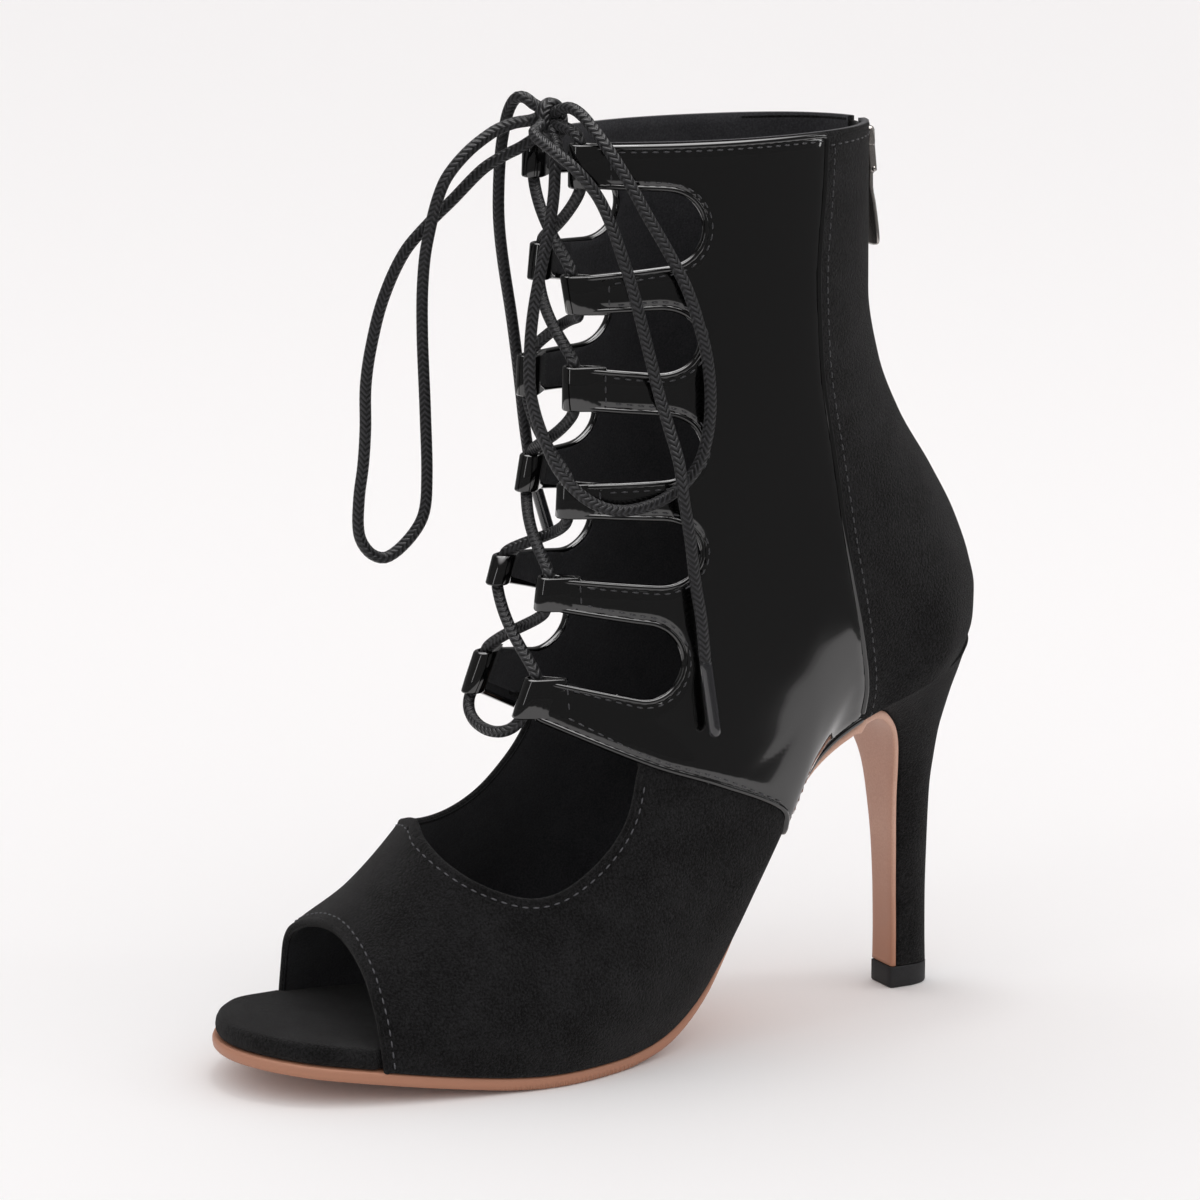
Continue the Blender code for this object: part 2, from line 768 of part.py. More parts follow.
def shell_mesh(name, grid, outside, inside, material=None, helper=False):
    """A closed wall between two offsets of a grid of rings, open at both ends of the grid."""
    normals = grid_normals(grid)
    outer = grid + normals * outside
    inner = grid - normals * inside
    if not helper:
        inner[0, :, 2] = sole_height(JOINT_LINE, inner[0, :, 1]) + INNER_EDGE_LIFT
    levels, around = grid.shape[:2]
    points = [*outer.reshape(-1, 3), *inner.reshape(-1, 3)]
    count = levels * around
    faces = []
    for i in range(levels - 1):
        for j in range(around):
            a = i * around + j
            b = i * around + (j + 1) % around
            c = b + around
            d = a + around
            faces.append((a, b, c, d))
            faces.append((count + a, count + d, count + c, count + b))
    for j in range(around):
        a, b = j, (j + 1) % around
        faces.append((a, count + a, count + b, b))
        top = (levels - 1) * around
        faces.append((top + a, top + b, count + top + b, count + top + a))
    return add_mesh(name, points, faces, material, helper)


def ladder_mesh(name, rings, material):
    """A closed solid through sections with the same number of points, capped at both ends."""
    count = len(rings[0])
    points = [point for ring in rings for point in ring]
    faces = []
    for i in range(len(rings) - 1):
        for j in range(count):
            a = i * count + j
            b = i * count + (j + 1) % count
            faces.append((a, b, b + count, a + count))
    faces.append(tuple(range(count)))
    faces.append(tuple(len(points) - count + j for j in range(count)))
    return add_mesh(name, points, faces, material)


def finger_front(side):
    """Front end of each finger's flat part, as (top, bottom) pairs of (y, z) from the top down."""
    pairs = []
    for finger in FINGER_TABLES[side]:
        top = (along(finger.top_along) + LOOP_REACH, finger.top * COLLAR_HEIGHT)
        bottom = (along(finger.bottom_along) + LOOP_REACH, finger.bottom * COLLAR_HEIGHT)
        pairs.append((top, bottom))
    return pairs


def cutout_end(row):
    """Rounded rear end of one cut-out, from its top edge round to its bottom edge."""
    nose = CUTOUT_NOSE * LENGTH
    centre_y = along(row.rear) - nose
    middle = (row.top + row.bottom) / 2 * COLLAR_HEIGHT
    half = (row.top - row.bottom) / 2 * COLLAR_HEIGHT
    points = []
    for step in range(2 * CUTOUT_ARC + 1):
        angle = math.pi / 2 - math.pi * step / (2 * CUTOUT_ARC)
        points.append((centre_y + nose * math.cos(angle), middle + half * math.sin(angle)))
    return points


def comb_outline(side):
    """Side outline of all that is open in front: throat, finger ends and cut-outs."""
    fronts = finger_front(side)
    top_z = ABOVE_COLLAR * COLLAR_HEIGHT
    outline = [(along(FRONT_LIMIT), top_z), (fronts[0][0][0], top_z), *fronts[0]]
    for (top, bottom), row in zip(fronts[1:], CUTOUT_TABLES[side]):
        outline += cutout_end(row)
        outline += [top, bottom]
    throat = reversed(THROATS[side])
    outline += [(along(point.along), point.height * COLLAR_HEIGHT) for point in throat]
    outline.append((along(FRONT_LIMIT), THROATS[side][0].height * COLLAR_HEIGHT))
    return outline


def quarter_outline(side):
    """Side outline of the raised patent quarter."""
    first = finger_front(side)[-1][1]
    top_z = ABOVE_COLLAR * COLLAR_HEIGHT
    seam = [(along(point.along), point.height * COLLAR_HEIGHT) for point in QUARTER_SEAM]
    edge = [(along(point.along), point.height * COLLAR_HEIGHT) for point in QUARTER_EDGE]
    front = [(along(FRONT_LIMIT), first[1]), (along(FRONT_LIMIT), top_z)]
    return [(along(QUARTER_SEAM[0].along), top_z), *seam[1:], *edge, first, *front]


def make_upper(suede):
    """The whole upper as one hollow wall, with its raised patent quarters and openings."""
    upper = shell_mesh("upper", last_grid(0, 1, LEVELS), 0.0, UPPER_WALL, suede)
    reach = BALL_WIDTH
    raised = last_grid(*QUARTER_LEVELS, LEVELS)
    for side in (LATERAL, MEDIAL):
        name = SIDE_NAMES[side]
        quarter = shell_mesh(f"quarter_{name}", raised, PANEL_RISE, PANEL_ROOT, helper=True)
        region = prism(f"quarter_region_{name}", quarter_outline(side), 0.0, side * reach)
        boolean(quarter, "INTERSECT", region)
        boolean(upper, "UNION", quarter)
    for side in (LATERAL, MEDIAL):
        name = SIDE_NAMES[side]
        open_front = prism(
            f"open_front_{name}", comb_outline(side), -side * UPPER_WALL, side * reach
        )
        boolean(upper, "DIFFERENCE", open_front)
    toe_depth = LENGTH / 2
    toe_centre = (0, along(PEEP_CUT) - toe_depth / 2, SEAT_HEIGHT / 2)
    toe = block("open_toe", toe_centre, (2 * reach, toe_depth, 2 * SEAT_HEIGHT), helper=True)
    boolean(upper, "DIFFERENCE", toe)
    slot_low = ZIP_BOTTOM * COLLAR_HEIGHT
    slot_high = ABOVE_COLLAR * COLLAR_HEIGHT
    slot_centre = (0, LENGTH / 2, (slot_low + slot_high) / 2)
    slot_size = (ZIP_WIDTH + 2 * GAP, LENGTH / 2, slot_high - slot_low)
    slot = block("zip_slot", slot_centre, slot_size, helper=True)
    boolean(upper, "DIFFERENCE", slot)
    return upper


def sole_outline(inset, extra=()):
    """Half widths of the joint outline at the sole's stations, moved inwards by an inset.

    Gives rows of Y, lateral and medial half width from the toe to the back of the seat,
    with rows for the extra Y values too.
    """
    base = slice_row(0.0)
    sides = {}
    for side in (LATERAL, MEDIAL):
        angles = np.linspace(0.0, math.pi, OUTLINE_STEPS)
        y = base[0] + (base[2] - base[0]) * (1 - np.cos(angles)) / 2
        w = np.array([half_width(0.0, angle, side) for angle in angles])
        run = np.stack([np.gradient(y), np.gradient(w)], axis=1)
        run /= np.linalg.norm(run, axis=1, keepdims=True)
        sides[side] = (y + run[:, 1] * inset, w - run[:, 0] * inset)
    first = max(sides[side][0][0] for side in sides) + SOLE_TIP
    last = min(sides[side][0][-1] for side in sides) - SOLE_TIP
    stations = [base[0] + (base[2] - base[0]) * share for share in RING_SHARES]
    stations = sorted([*stations, *extra])
    inside = [y for y in stations if first + SOLE_TIP < y < last - SOLE_TIP]
    rows = []
    for y in (first, *inside, last):
        row = [y]
        for side in (LATERAL, MEDIAL):
            row.append(float(np.interp(y, *sides[side])))
        rows.append(row)
    return rows


def sole_rib(outer, inner, lateral, medial):
    """Four corners of an outsole section between its outer and inner (y, z) points."""
    return [
        (lateral, *outer),
        (lateral, *inner),
        (-medial, *inner),
        (-medial, *outer),
    ]


def behind_breast(index, clearance):
    """A (y, z) point a clearance behind the breast leather, at one of its rows."""
    depth = BREAST_LEATHER * HEEL_ROWS[index].leather + clearance
    face = [(along(row.breast), row.breast_height * SEAT_HEIGHT) for row in HEEL_ROWS]
    before = face[max(index - 1, 0)]
    after = face[min(index + 1, len(face) - 1)]
    run = (after[0] - before[0], after[1] - before[1])
    size = math.hypot(*run)
    y = face[index][0] - run[1] / size * depth
    z = face[index][1] + run[0] / size * depth
    if index == len(face) - 1:
        z = face[index][1]
    return (y, z)


def make_outsole(tan):
    """Leather outsole from the toe over the arch and down the heel's breast."""
    rings = []
    for y, lateral, medial in sole_outline(0.0):
        if y > along(HEEL_ROWS[0].breast) - BREAST_LEATHER:
            break
        outer = (y, float(sole_height(OUTSOLE_FACE, y)))
        inner = (y, float(sole_height(JOINT_LINE, y)))
        rings.append(sole_rib(outer, inner, lateral, medial))
    for index, row in enumerate(HEEL_ROWS):
        outer = (along(row.breast), row.breast_height * SEAT_HEIGHT)
        width = row.breast_half * BALL_WIDTH
        rings.append(sole_rib(outer, behind_breast(index, 0.0), width, width))
    return ladder_mesh("outsole", rings, tan)


def insole_half(y, height, side, outline):
    """Half width of the insole at Y, kept clear of the wall that leans in above it."""
    if y < along(PEEP_CUT) - INSOLE_STEP:
        return outline
    wall = abs(side_x(y, height, side)) - INSOLE_INSET
    return min(outline, wall)


def make_insole(suede):
    """Suede-wrapped insole, thick under the toes, inside the upper and out to the toe's edge."""
    rings = []
    before = along(PEEP_CUT) - 2 * INSOLE_STEP
    after = along(PEEP_CUT) - INSOLE_STEP
    wide = [row for row in sole_outline(INSOLE_TOE_INSET, [before]) if row[0] <= before]
    tight = [row for row in sole_outline(INSOLE_INSET, [after]) if row[0] >= after]
    for y, lateral, medial in wide + tight:
        share = y / LENGTH + 0.5
        low = float(sole_height(JOINT_LINE, y)) + GAP
        thin = min(max((share - INSOLE_THINS_FROM) / INSOLE_THINS_OVER, 0.0), 1.0)
        thick = INSOLE_TOE_THICKNESS + (INSOLE_HEEL_THICKNESS - INSOLE_TOE_THICKNESS) * thin
        lateral = insole_half(y, low + thick, LATERAL, lateral)
        medial = insole_half(y, low + thick, MEDIAL, medial)
        roll = INSOLE_EDGE_ROLL
        middle = low + thick * INSOLE_WIDEST
        rings.append(
            [
                (lateral - roll, y, low),
                (lateral, y, middle),
                (lateral - roll, y, low + thick),
                (-medial + roll, y, low + thick),
                (-medial, y, middle),
                (-medial + roll, y, low),
            ]
        )
    return ladder_mesh("insole", rings, suede)


def heel_section(front, back, half):
    """Points of one D-shaped section between (y, z) points: a flat front, a rounded back."""
    front = Vector(front)
    back = Vector(back)
    side = [(0.0, HEEL_FRONT_WIDTH), (HEEL_FLAT, 1.0)]
    for step in range(1, HEEL_ARC + 1):
        angle = math.pi / 2 * step / HEEL_ARC
        side.append((HEEL_FLAT + (1 - HEEL_FLAT) * math.sin(angle), math.cos(angle)))
    points = []
    for share, width in side:
        middle = front.lerp(back, share)
        points.append((half * width, middle.x, middle.y))
    for share, width in reversed(side[:-1]):
        middle = front.lerp(back, share)
        points.append((-half * width, middle.x, middle.y))
    return points


def make_heel(suede):
    """Covered stiletto heel, a gap behind the breast leather and above the top piece."""
    rings = []
    for index, row in enumerate(HEEL_ROWS):
        front = behind_breast(index, GAP)
        back = (along(row.back), row.back_height * SEAT_HEIGHT)
        rings.append(heel_section(front, back, row.half * BALL_WIDTH))
    return ladder_mesh("heel", rings, suede)


def make_top_piece(rubber):
    """Hard rubber top piece under the heel and the end of the breast leather."""
    row = HEEL_ROWS[-1]
    height = row.breast_height * SEAT_HEIGHT - GAP
    front = along(row.breast) - TOP_PIECE_LIP
    back = along(row.back) + TOP_PIECE_LIP
    half = row.half * BALL_WIDTH + TOP_PIECE_LIP
    rings = [heel_section((front, level), (back, level), half) for level in (0.0, height)]
    return ladder_mesh("top_piece", rings, rubber)


def loop_section(tip, tail, z):
    """Teardrop outline of a folded loop at one height, from its tip to its stitched tail."""
    run = Vector((tail[0] - tip[0], tail[1] - tip[1])).normalized()
    cross = Vector((-run.y, run.x))
    radius = LACE_DIAMETER / 2 + LACE_CLEARANCE + LOOP_SKIN
    centre = Vector(tip) + run * radius
    outline = []
    for step in range(LOOP_ARC + 1):
        angle = LOOP_WRAP * (1 - 2 * step / LOOP_ARC)
        arm = -run * math.cos(angle) + cross * math.sin(angle)
        outline.append(centre + arm * radius)
    outward = math.copysign(LOOP_TAIL / 2, cross.x)
    outline.append(Vector((tail[0] - outward, tail[1])))
    outline.append(Vector((tail[0] + outward, tail[1])))
    hole = []
    bore = (LACE_DIAMETER / 2 + LACE_CLEARANCE) * BORE_WIDENING
    for step in range(LACE_SIDES):
        angle = 2 * math.pi * (step + 0.5) / LACE_SIDES
        arm = run * math.cos(angle) + cross * math.sin(angle)
        hole.append(centre + arm * bore)
    return [(p.x, p.y, z) for p in outline], [(p.x, p.y, z) for p in hole], (centre.x, centre.y)


def loop_ends(side, finger):
    """Channel mouths of a loop: (x, y, z) of its bottom and top centres, and its sections."""
    sections = []
    for share, height in ((finger.bottom_along, finger.bottom), (finger.top_along, finger.top)):
        z = height * COLLAR_HEIGHT
        tip_y = along(share)
        tail_y = tip_y + LOOP_REACH - GAP
        middle = min(z, COLLAR_HEIGHT - UPPER_WALL)
        tip = (side_x(tip_y, middle, side), tip_y)
        tail = (side_x(tail_y, middle, side) - side * TAIL_SINK, tail_y)
        sections.append((*loop_section(tip, tail, z), z))
    return sections


def make_loop(side, finger, patent):
    """One finger's end folded round the lace: a short teardrop tube."""
    name = f"loop_{SIDE_NAMES[side]}_{finger.name}"
    low, high = loop_ends(side, finger)
    outline_low, hole_low = low[0], low[1]
    outline_high, hole_high = high[0], high[1]
    body = ladder_mesh(name, [outline_low, outline_high], patent)
    grow = [Vector(a) - Vector(b) for a, b in zip(hole_high, hole_low)]
    below = [Vector(b) - g * BORE_OVERRUN for b, g in zip(hole_low, grow)]
    above = [Vector(a) + g * BORE_OVERRUN for a, g in zip(hole_high, grow)]
    bore = ladder_mesh(f"{name}_bore", [below, above], None)
    bore.hide_render = True
    bore.display_type = "WIRE"
    boolean(body, "DIFFERENCE", bore)
    return body


def mouth(side, index, top):
    """Centre of a loop's upper or lower mouth, with fingers counted from 1 at the bottom."""
    finger = FINGER_TABLES[side][len(FINGER_TABLES[side]) - index]
    section = loop_ends(side, finger)[1 if top else 0]
    return Vector((*section[2], section[3]))


def sweep(name, points, radius, sides, material=None, helper=False):
    """A round bar along points, with its frame carried along without twist."""
    points = [Vector(point) for point in points]
    rings = []
    normal = None
    for i, point in enumerate(points):
        ahead = points[min(i + 1, len(points) - 1)] - points[max(i - 1, 0)]
        ahead.normalize()
        if normal is None:
            normal = ahead.orthogonal().normalized()
        normal = (normal - ahead * normal.dot(ahead)).normalized()
        across = ahead.cross(normal)
        ring = []
        for step in range(sides):
            angle = 2 * math.pi * step / sides
            ring.append(point + (normal * math.cos(angle) + across * math.sin(angle)) * radius)
        rings.append(ring)
    obj = ladder_mesh(name, rings, material)
    if helper:
        obj.hide_render = True
        obj.display_type = "WIRE"
    return obj


def hermite(start, start_run, end, end_run, count):
    """Points of a cubic from start to end with the given tangents."""
    points = []
    for i in range(count):
        t = i / (count - 1)
        points.append(
            start * (2 * t**3 - 3 * t**2 + 1)
            + start_run * (t**3 - 2 * t**2 + t)
            + end * (-2 * t**3 + 3 * t**2)
            + end_run * (t**3 - t**2)
        )
    return points


def crossing_route(start, end, forward):
    """One strand from a loop's top mouth to the next loop's bottom mouth on the other side."""
    clearance = Vector((0, 0, 2 * GAP))
    start = start + clearance
    end = end - clearance
    lift = Vector((0, 0, (end - start).length * CROSSING_LIFT))
    points = hermite(start, lift, end, lift, CROSSING_POINTS)
    for i, point in enumerate(points):
        t = i / (len(points) - 1)
        point.y -= forward * math.sin(math.pi * t) ** 2
    return points


def make_crossing(index, lace):
    """Crossed strands between two rows of loops, joined where they touch."""
    front = crossing_route(
        mouth(LATERAL, index, True), mouth(MEDIAL, index + 1, False), CROSSING_BULGE
    )
    behind = crossing_route(
        mouth(MEDIAL, index, True), mouth(LATERAL, index + 1, False), 0.0
    )
    middle = CROSSING_POINTS / 2 - 0.5
    at_front = front[int(middle)].lerp(front[int(middle) + 1], 0.5)
    at_behind = behind[int(middle)].lerp(behind[int(middle) + 1], 0.5)
    apart = at_front - at_behind
    for i, point in enumerate(behind):
        t = i / (len(behind) - 1)
        weight = math.sin(math.pi * t) ** 2
        point.y += (apart.y + CROSSING_SQUEEZE * LACE_DIAMETER) * weight
        point.z += apart.z * weight
    radius = LACE_DIAMETER / 2
    strand = sweep(f"lace_crossing_{index}", front, radius, LACE_SIDES, lace)
    other = sweep(f"lace_crossing_{index}_behind", behind, radius, LACE_SIDES, helper=True)
    boolean(strand, "UNION", other)
    return strand


def make_bottom_bar(lace):
    """The lowest bar of the lace, hanging in a U under the first pair of loops."""
    clearance = Vector((0, 0, 2 * GAP))
    start = mouth(MEDIAL, 1, False) - clearance
    end = mouth(LATERAL, 1, False) - clearance
    down = Vector((0, -BOTTOM_BAR_REACH, -BOTTOM_BAR_DROP)) * BOTTOM_BAR_TENSION
    points = hermite(start, down, end, -down, CROSSING_POINTS)
    return sweep("lace_bottom_bar", points, LACE_DIAMETER / 2, LACE_SIDES, lace)


def knot_side(side):
    """Point beside the knot where a top stretch of the lace ends."""
    x, y, z = KNOT_CENTRE
    return Vector((x + side * (KNOT_RADII[0] + 2 * GAP), y, z - KNOT_ENTRY_DROP))


def make_top_stretch(side, lace):
    """The short stretch from a top loop's mouth to the knot."""
    start = mouth(side, 6, True) + Vector((0, 0, 2 * GAP))
    end = knot_side(side)
    size = (end - start).length
    points = hermite(start, Vector((0, 0, size)), end, Vector((-side * size, 0, 0)), TOP_STRETCH_POINTS)
    name = f"lace_top_{SIDE_NAMES[side]}"
    return sweep(name, points, LACE_DIAMETER / 2, LACE_SIDES, lace)


def smooth_route(points, step):
    """Points of a smooth curve through the route's own points, about a step apart."""
    route = np.array([tuple(point) for point in points])
    runs = np.linalg.norm(np.diff(route, axis=0), axis=1)
    place = np.concatenate([[0.0], np.cumsum(runs)])
    count = max(int(round(place[-1] / step)), 2)
    tangent = np.zeros_like(route)
    tangent[1:-1] = (route[2:] - route[:-2]) / (place[2:] - place[:-2])[:, None]
    tangent[0] = (route[1] - route[0]) / runs[0]
    tangent[-1] = (route[-1] - route[-2]) / runs[-1]
    result = []
    for at in np.linspace(0, place[-1], count + 1):
        i = min(int(np.searchsorted(place, at, side="right")) - 1, len(runs) - 1)
        h = runs[i]
        t = (at - place[i]) / h
        result.append(
            (1 + 2 * t) * (1 - t) ** 2 * route[i]
            + t * (1 - t) ** 2 * h * tangent[i]
            + t * t * (3 - 2 * t) * route[i + 1]
            + t * t * (t - 1) * h * tangent[i + 1]
        )
    return result


def make_cord(name, route, material):
    """A free stretch of lace as a round tube with closed ends."""
    points = smooth_route(route, CORD_STEP)
    curve = bpy.data.curves.new(name, "CURVE")
    curve.dimensions = "3D"
    curve.bevel_depth = LACE_DIAMETER / 2
    curve.bevel_resolution = 2
    curve.use_fill_caps = True
    spline = curve.splines.new("POLY")
    spline.points.add(len(points) - 1)
    for slot, point in zip(spline.points, points):
        slot.co = (*point, 1.0)
    curve.materials.append(material)
    obj = bpy.data.objects.new(name, curve)
    bpy.context.scene.collection.objects.link(obj)
    return obj


def make_aglet(name, ends, material):
    """Plastic tip on a lace end."""
    start, end = (Vector(point) for point in ends)
    points = [start.lerp(end, share) for share in (0.0, 0.5, 1.0)]
    return sweep(name, points, AGLET_RADIUS, LACE_SIDES, material)


def make_knot(lace):
    """The bow's knot as one rounded lump."""
    work = bmesh.new()
    bmesh.ops.create_uvsphere(work, u_segments=12, v_segments=8, radius=1.0)
    bmesh.ops.scale(work, vec=KNOT_RADII, verts=work.verts)
    bmesh.ops.translate(work, vec=KNOT_CENTRE, verts=work.verts)
    mesh = bpy.data.meshes.new("lace_knot")
    work.to_mesh(mesh)
    work.free()
    mesh.materials.append(lace)
    obj = bpy.data.objects.new("lace_knot", mesh)
    bpy.context.scene.collection.objects.link(obj)
    return obj


def make_zip_chain(material):
    """Closed teeth of the back zip, set in the slot of the back seam."""
    low = ZIP_BOTTOM * COLLAR_HEIGHT + GAP
    high = COLLAR_HEIGHT - ZIP_TOP_MARGIN
    rings = []
    half = ZIP_WIDTH / 2
    step = ZIP_THICKNESS
    for z in np.linspace(low, high, ZIP_ROWS):
        slope = (back_line(z + step) - back_line(z - step)) / (2 * step)
        lean = math.sqrt(1 + slope * slope)
        outer = back_line(z) - ZIP_SINK * lean
        inner = outer - ZIP_THICKNESS * lean
        rings.append([(-half, outer, z), (half, outer, z), (half, inner, z), (-half, inner, z)])
    return ladder_mesh("zip_chain", rings, material)


def slider_frame():
    """Top of the slider, the back seam's Y there, and the pin's (y, z)."""
    top = COLLAR_HEIGHT - SLIDER_DROP
    face = back_line(top - SLIDER_LENGTH / 2) + GAP
    eye = PIN_RADIUS + PIN_CLEARANCE + EYE_SKIN
    pin_z = top - SLIDER_LENGTH - GAP - eye
    return top, face, (face + eye + GAP, pin_z)


def make_zip_slider(metal):
    """Slider body with two ears and the pin that carries the pull tab."""
    top, face, (pin_y, pin_z) = slider_frame()
    centre = (0, face + SLIDER_DEPTH / 2, top - SLIDER_LENGTH / 2)
    body = block("zip_slider", centre, (SLIDER_WIDTH, SLIDER_DEPTH, SLIDER_LENGTH), metal)
    bevel = body.modifiers.new("rounded", "BEVEL")
    bevel.width = SLIDER_ROUNDING
    bevel.segments = 1
    ear_x = SLIDER_WIDTH / 2 - EAR_THICKNESS / 2 - EAR_INSET
    for side in (LATERAL, MEDIAL):
        ear_high = top - SLIDER_LENGTH / 2
        ear_low = pin_z - EAR_LENGTH / 2
        ear = block(
            f"slider_ear_{SIDE_NAMES[side]}",
            (side * ear_x, pin_y, (ear_high + ear_low) / 2),
            (EAR_THICKNESS, EAR_DEPTH, ear_high - ear_low),
            helper=True,
        )
        boolean(body, "UNION", ear)
    ends = [(x, pin_y, pin_z) for x in (-ear_x, ear_x)]
    pin = sweep("slider_pin", ends, PIN_RADIUS, PIN_SIDES, helper=True)
    boolean(body, "UNION", pin)
    return body


def make_zip_pull(metal):
    """Pull tab that hangs from the slider's pin and kicks out a little at its foot."""
    _, _, (pin_y, pin_z) = slider_frame()
    ear_x = SLIDER_WIDTH / 2 - EAR_THICKNESS / 2 - EAR_INSET
    neck = ear_x - EAR_THICKNESS / 2 - PIN_CLEARANCE
    eye = PIN_RADIUS + PIN_CLEARANCE + EYE_SKIN
    ends = [(-neck, pin_y, pin_z), (neck, pin_y, pin_z)]
    body = sweep("zip_pull", ends, eye, EYE_SIDES, metal)
    wide = PULL_WIDTH / 2
    foot = [(row.drop, wide * row.width) for row in PULL_FOOT]
    rings = []
    for share, half in ((PULL_NECK[0], neck), (PULL_NECK[1], neck), *foot):
        z = pin_z - share * PULL_LENGTH
        y = pin_y + PULL_KICK * share**2
        front = y + PULL_THICKNESS / 2
        rear = y - PULL_THICKNESS / 2
        rings.append([(-half, front, z), (half, front, z), (half, rear, z), (-half, rear, z)])
    tab = ladder_mesh("pull_tab", rings, None)
    tab.hide_render = True
    tab.display_type = "WIRE"
    boolean(body, "UNION", tab)
    reach = SLIDER_WIDTH
    ends = [(x, pin_y, pin_z) for x in (-reach, reach)]
    bore = sweep("pull_bore", ends, PIN_RADIUS + PIN_CLEARANCE, PIN_SIDES, helper=True)
    boolean(body, "DIFFERENCE", bore)
    return body


def clear_scene():
    """Removes every object that the scene starts with."""
    for obj in list(bpy.data.objects):
        bpy.data.objects.remove(obj, do_unlink=True)


def main():
    """Builds the boot piece by piece."""
    clear_scene()
    suede = make_material("black_suede", SUEDE_BLACK, 0.95)
    patent = make_material("black_patent_leather", PATENT_BLACK, 0.10, coat=1.0)
    tan = make_material("tan_sole_leather", SOLE_TAN, 0.45)
    rubber = make_material("black_top_piece_rubber", RUBBER_GREY, 0.6)
    lace = make_material("waxed_lace", LACE_BLACK, 0.55)
    tape = make_material("zip_coil", ZIP_BLACK, 0.7)
    metal = make_material("gunmetal", GUNMETAL, 0.25, metallic=1.0)
    clear = make_material("aglet_plastic", AGLET_CLEAR, 0.2)
    make_upper(suede)
    make_outsole(tan)
    make_insole(suede)
    make_heel(suede)
    make_top_piece(rubber)
    for side in (LATERAL, MEDIAL):
        for finger in FINGER_TABLES[side]:
            make_loop(side, finger, patent)
        make_top_stretch(side, lace)
    make_bottom_bar(lace)
    for index in range(1, len(LATERAL_FINGERS)):
        make_crossing(index, lace)
    make_knot(lace)
    make_cord("bow_loop_medial", BOW_LOOP_MEDIAL, lace)
    make_cord("bow_loop_lateral", BOW_LOOP_LATERAL, lace)
    make_cord("lace_end_medial", END_MEDIAL, lace)
    make_cord("lace_end_lateral", END_LATERAL, lace)
    make_aglet("aglet_medial", AGLET_MEDIAL, clear)
    make_aglet("aglet_lateral", AGLET_LATERAL, clear)
    make_zip_chain(tape)
    make_zip_slider(metal)
    make_zip_pull(metal)


main()
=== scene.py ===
"""Left peep toe ankle boot, dressed: suede, patent straps, waxed lace and back zip.

Metres, +Z up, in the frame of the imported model. The toe points along -Y and the outer
(lateral) side faces +X. Lengths along the boot are shares of LENGTH from the toe tip,
widths are shares of BALL_WIDTH, heights are shares of SEAT_HEIGHT or COLLAR_HEIGHT.
"""

from __future__ import annotations

import logging
import math
from dataclasses import dataclass, field
from enum import Enum
from typing import Sequence

import bmesh
import bpy
import numpy as np
from bpy.types import Material, Node, NodeSocket, NodeTree, Object
from mathutils import Matrix, Vector


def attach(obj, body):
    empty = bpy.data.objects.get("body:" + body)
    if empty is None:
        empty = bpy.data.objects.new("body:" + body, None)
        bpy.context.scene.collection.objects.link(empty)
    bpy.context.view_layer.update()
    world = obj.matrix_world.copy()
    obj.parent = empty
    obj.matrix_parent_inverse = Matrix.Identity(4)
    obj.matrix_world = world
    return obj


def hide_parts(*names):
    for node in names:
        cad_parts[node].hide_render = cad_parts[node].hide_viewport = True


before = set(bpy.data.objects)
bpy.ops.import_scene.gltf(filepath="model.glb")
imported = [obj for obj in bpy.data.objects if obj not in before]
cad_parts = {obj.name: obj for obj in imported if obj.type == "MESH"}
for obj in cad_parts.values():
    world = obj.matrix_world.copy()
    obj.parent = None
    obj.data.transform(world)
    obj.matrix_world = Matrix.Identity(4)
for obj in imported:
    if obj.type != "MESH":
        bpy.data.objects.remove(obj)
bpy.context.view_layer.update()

Array = np.ndarray
LOG = logging.getLogger("boot")
BODY = "boot"
PULL_BODY = "pull"
MM = 0.001

# Driving sizes, as in the part
LENGTH = 0.2160
BALL_WIDTH = 0.0800
SEAT_HEIGHT = 0.0975
SHAFT_HEIGHT = 0.1360
COLLAR_HEIGHT = SEAT_HEIGHT + SHAFT_HEIGHT
GAP = 0.0003
WALL = 0.0018
LACE = 0.0030

# The foot's form: tables of the part, as shares
JOINT_LINE = (
    (0.000, 0.118), (0.056, 0.106), (0.134, 0.085), (0.236, 0.054), (0.292, 0.040),
    (0.338, 0.034), (0.440, 0.034), (0.477, 0.042), (0.505, 0.057), (0.537, 0.088),
    (0.579, 0.154), (0.606, 0.234), (0.631, 0.328), (0.663, 0.482), (0.690, 0.585),
    (0.708, 0.648), (0.734, 0.724), (0.764, 0.779), (0.792, 0.814), (0.829, 0.852),
    (0.993, 1.000),
)
OUTSOLE_FACE = (
    (0.000, 0.084), (0.056, 0.072), (0.134, 0.051), (0.236, 0.021), (0.292, 0.006),
    (0.338, 0.000), (0.440, 0.000), (0.477, 0.009), (0.505, 0.024), (0.537, 0.055),
    (0.579, 0.126), (0.606, 0.203), (0.631, 0.297), (0.663, 0.453), (0.690, 0.556),
    (0.708, 0.620), (0.734, 0.697), (0.764, 0.753), (0.787, 0.783),
)
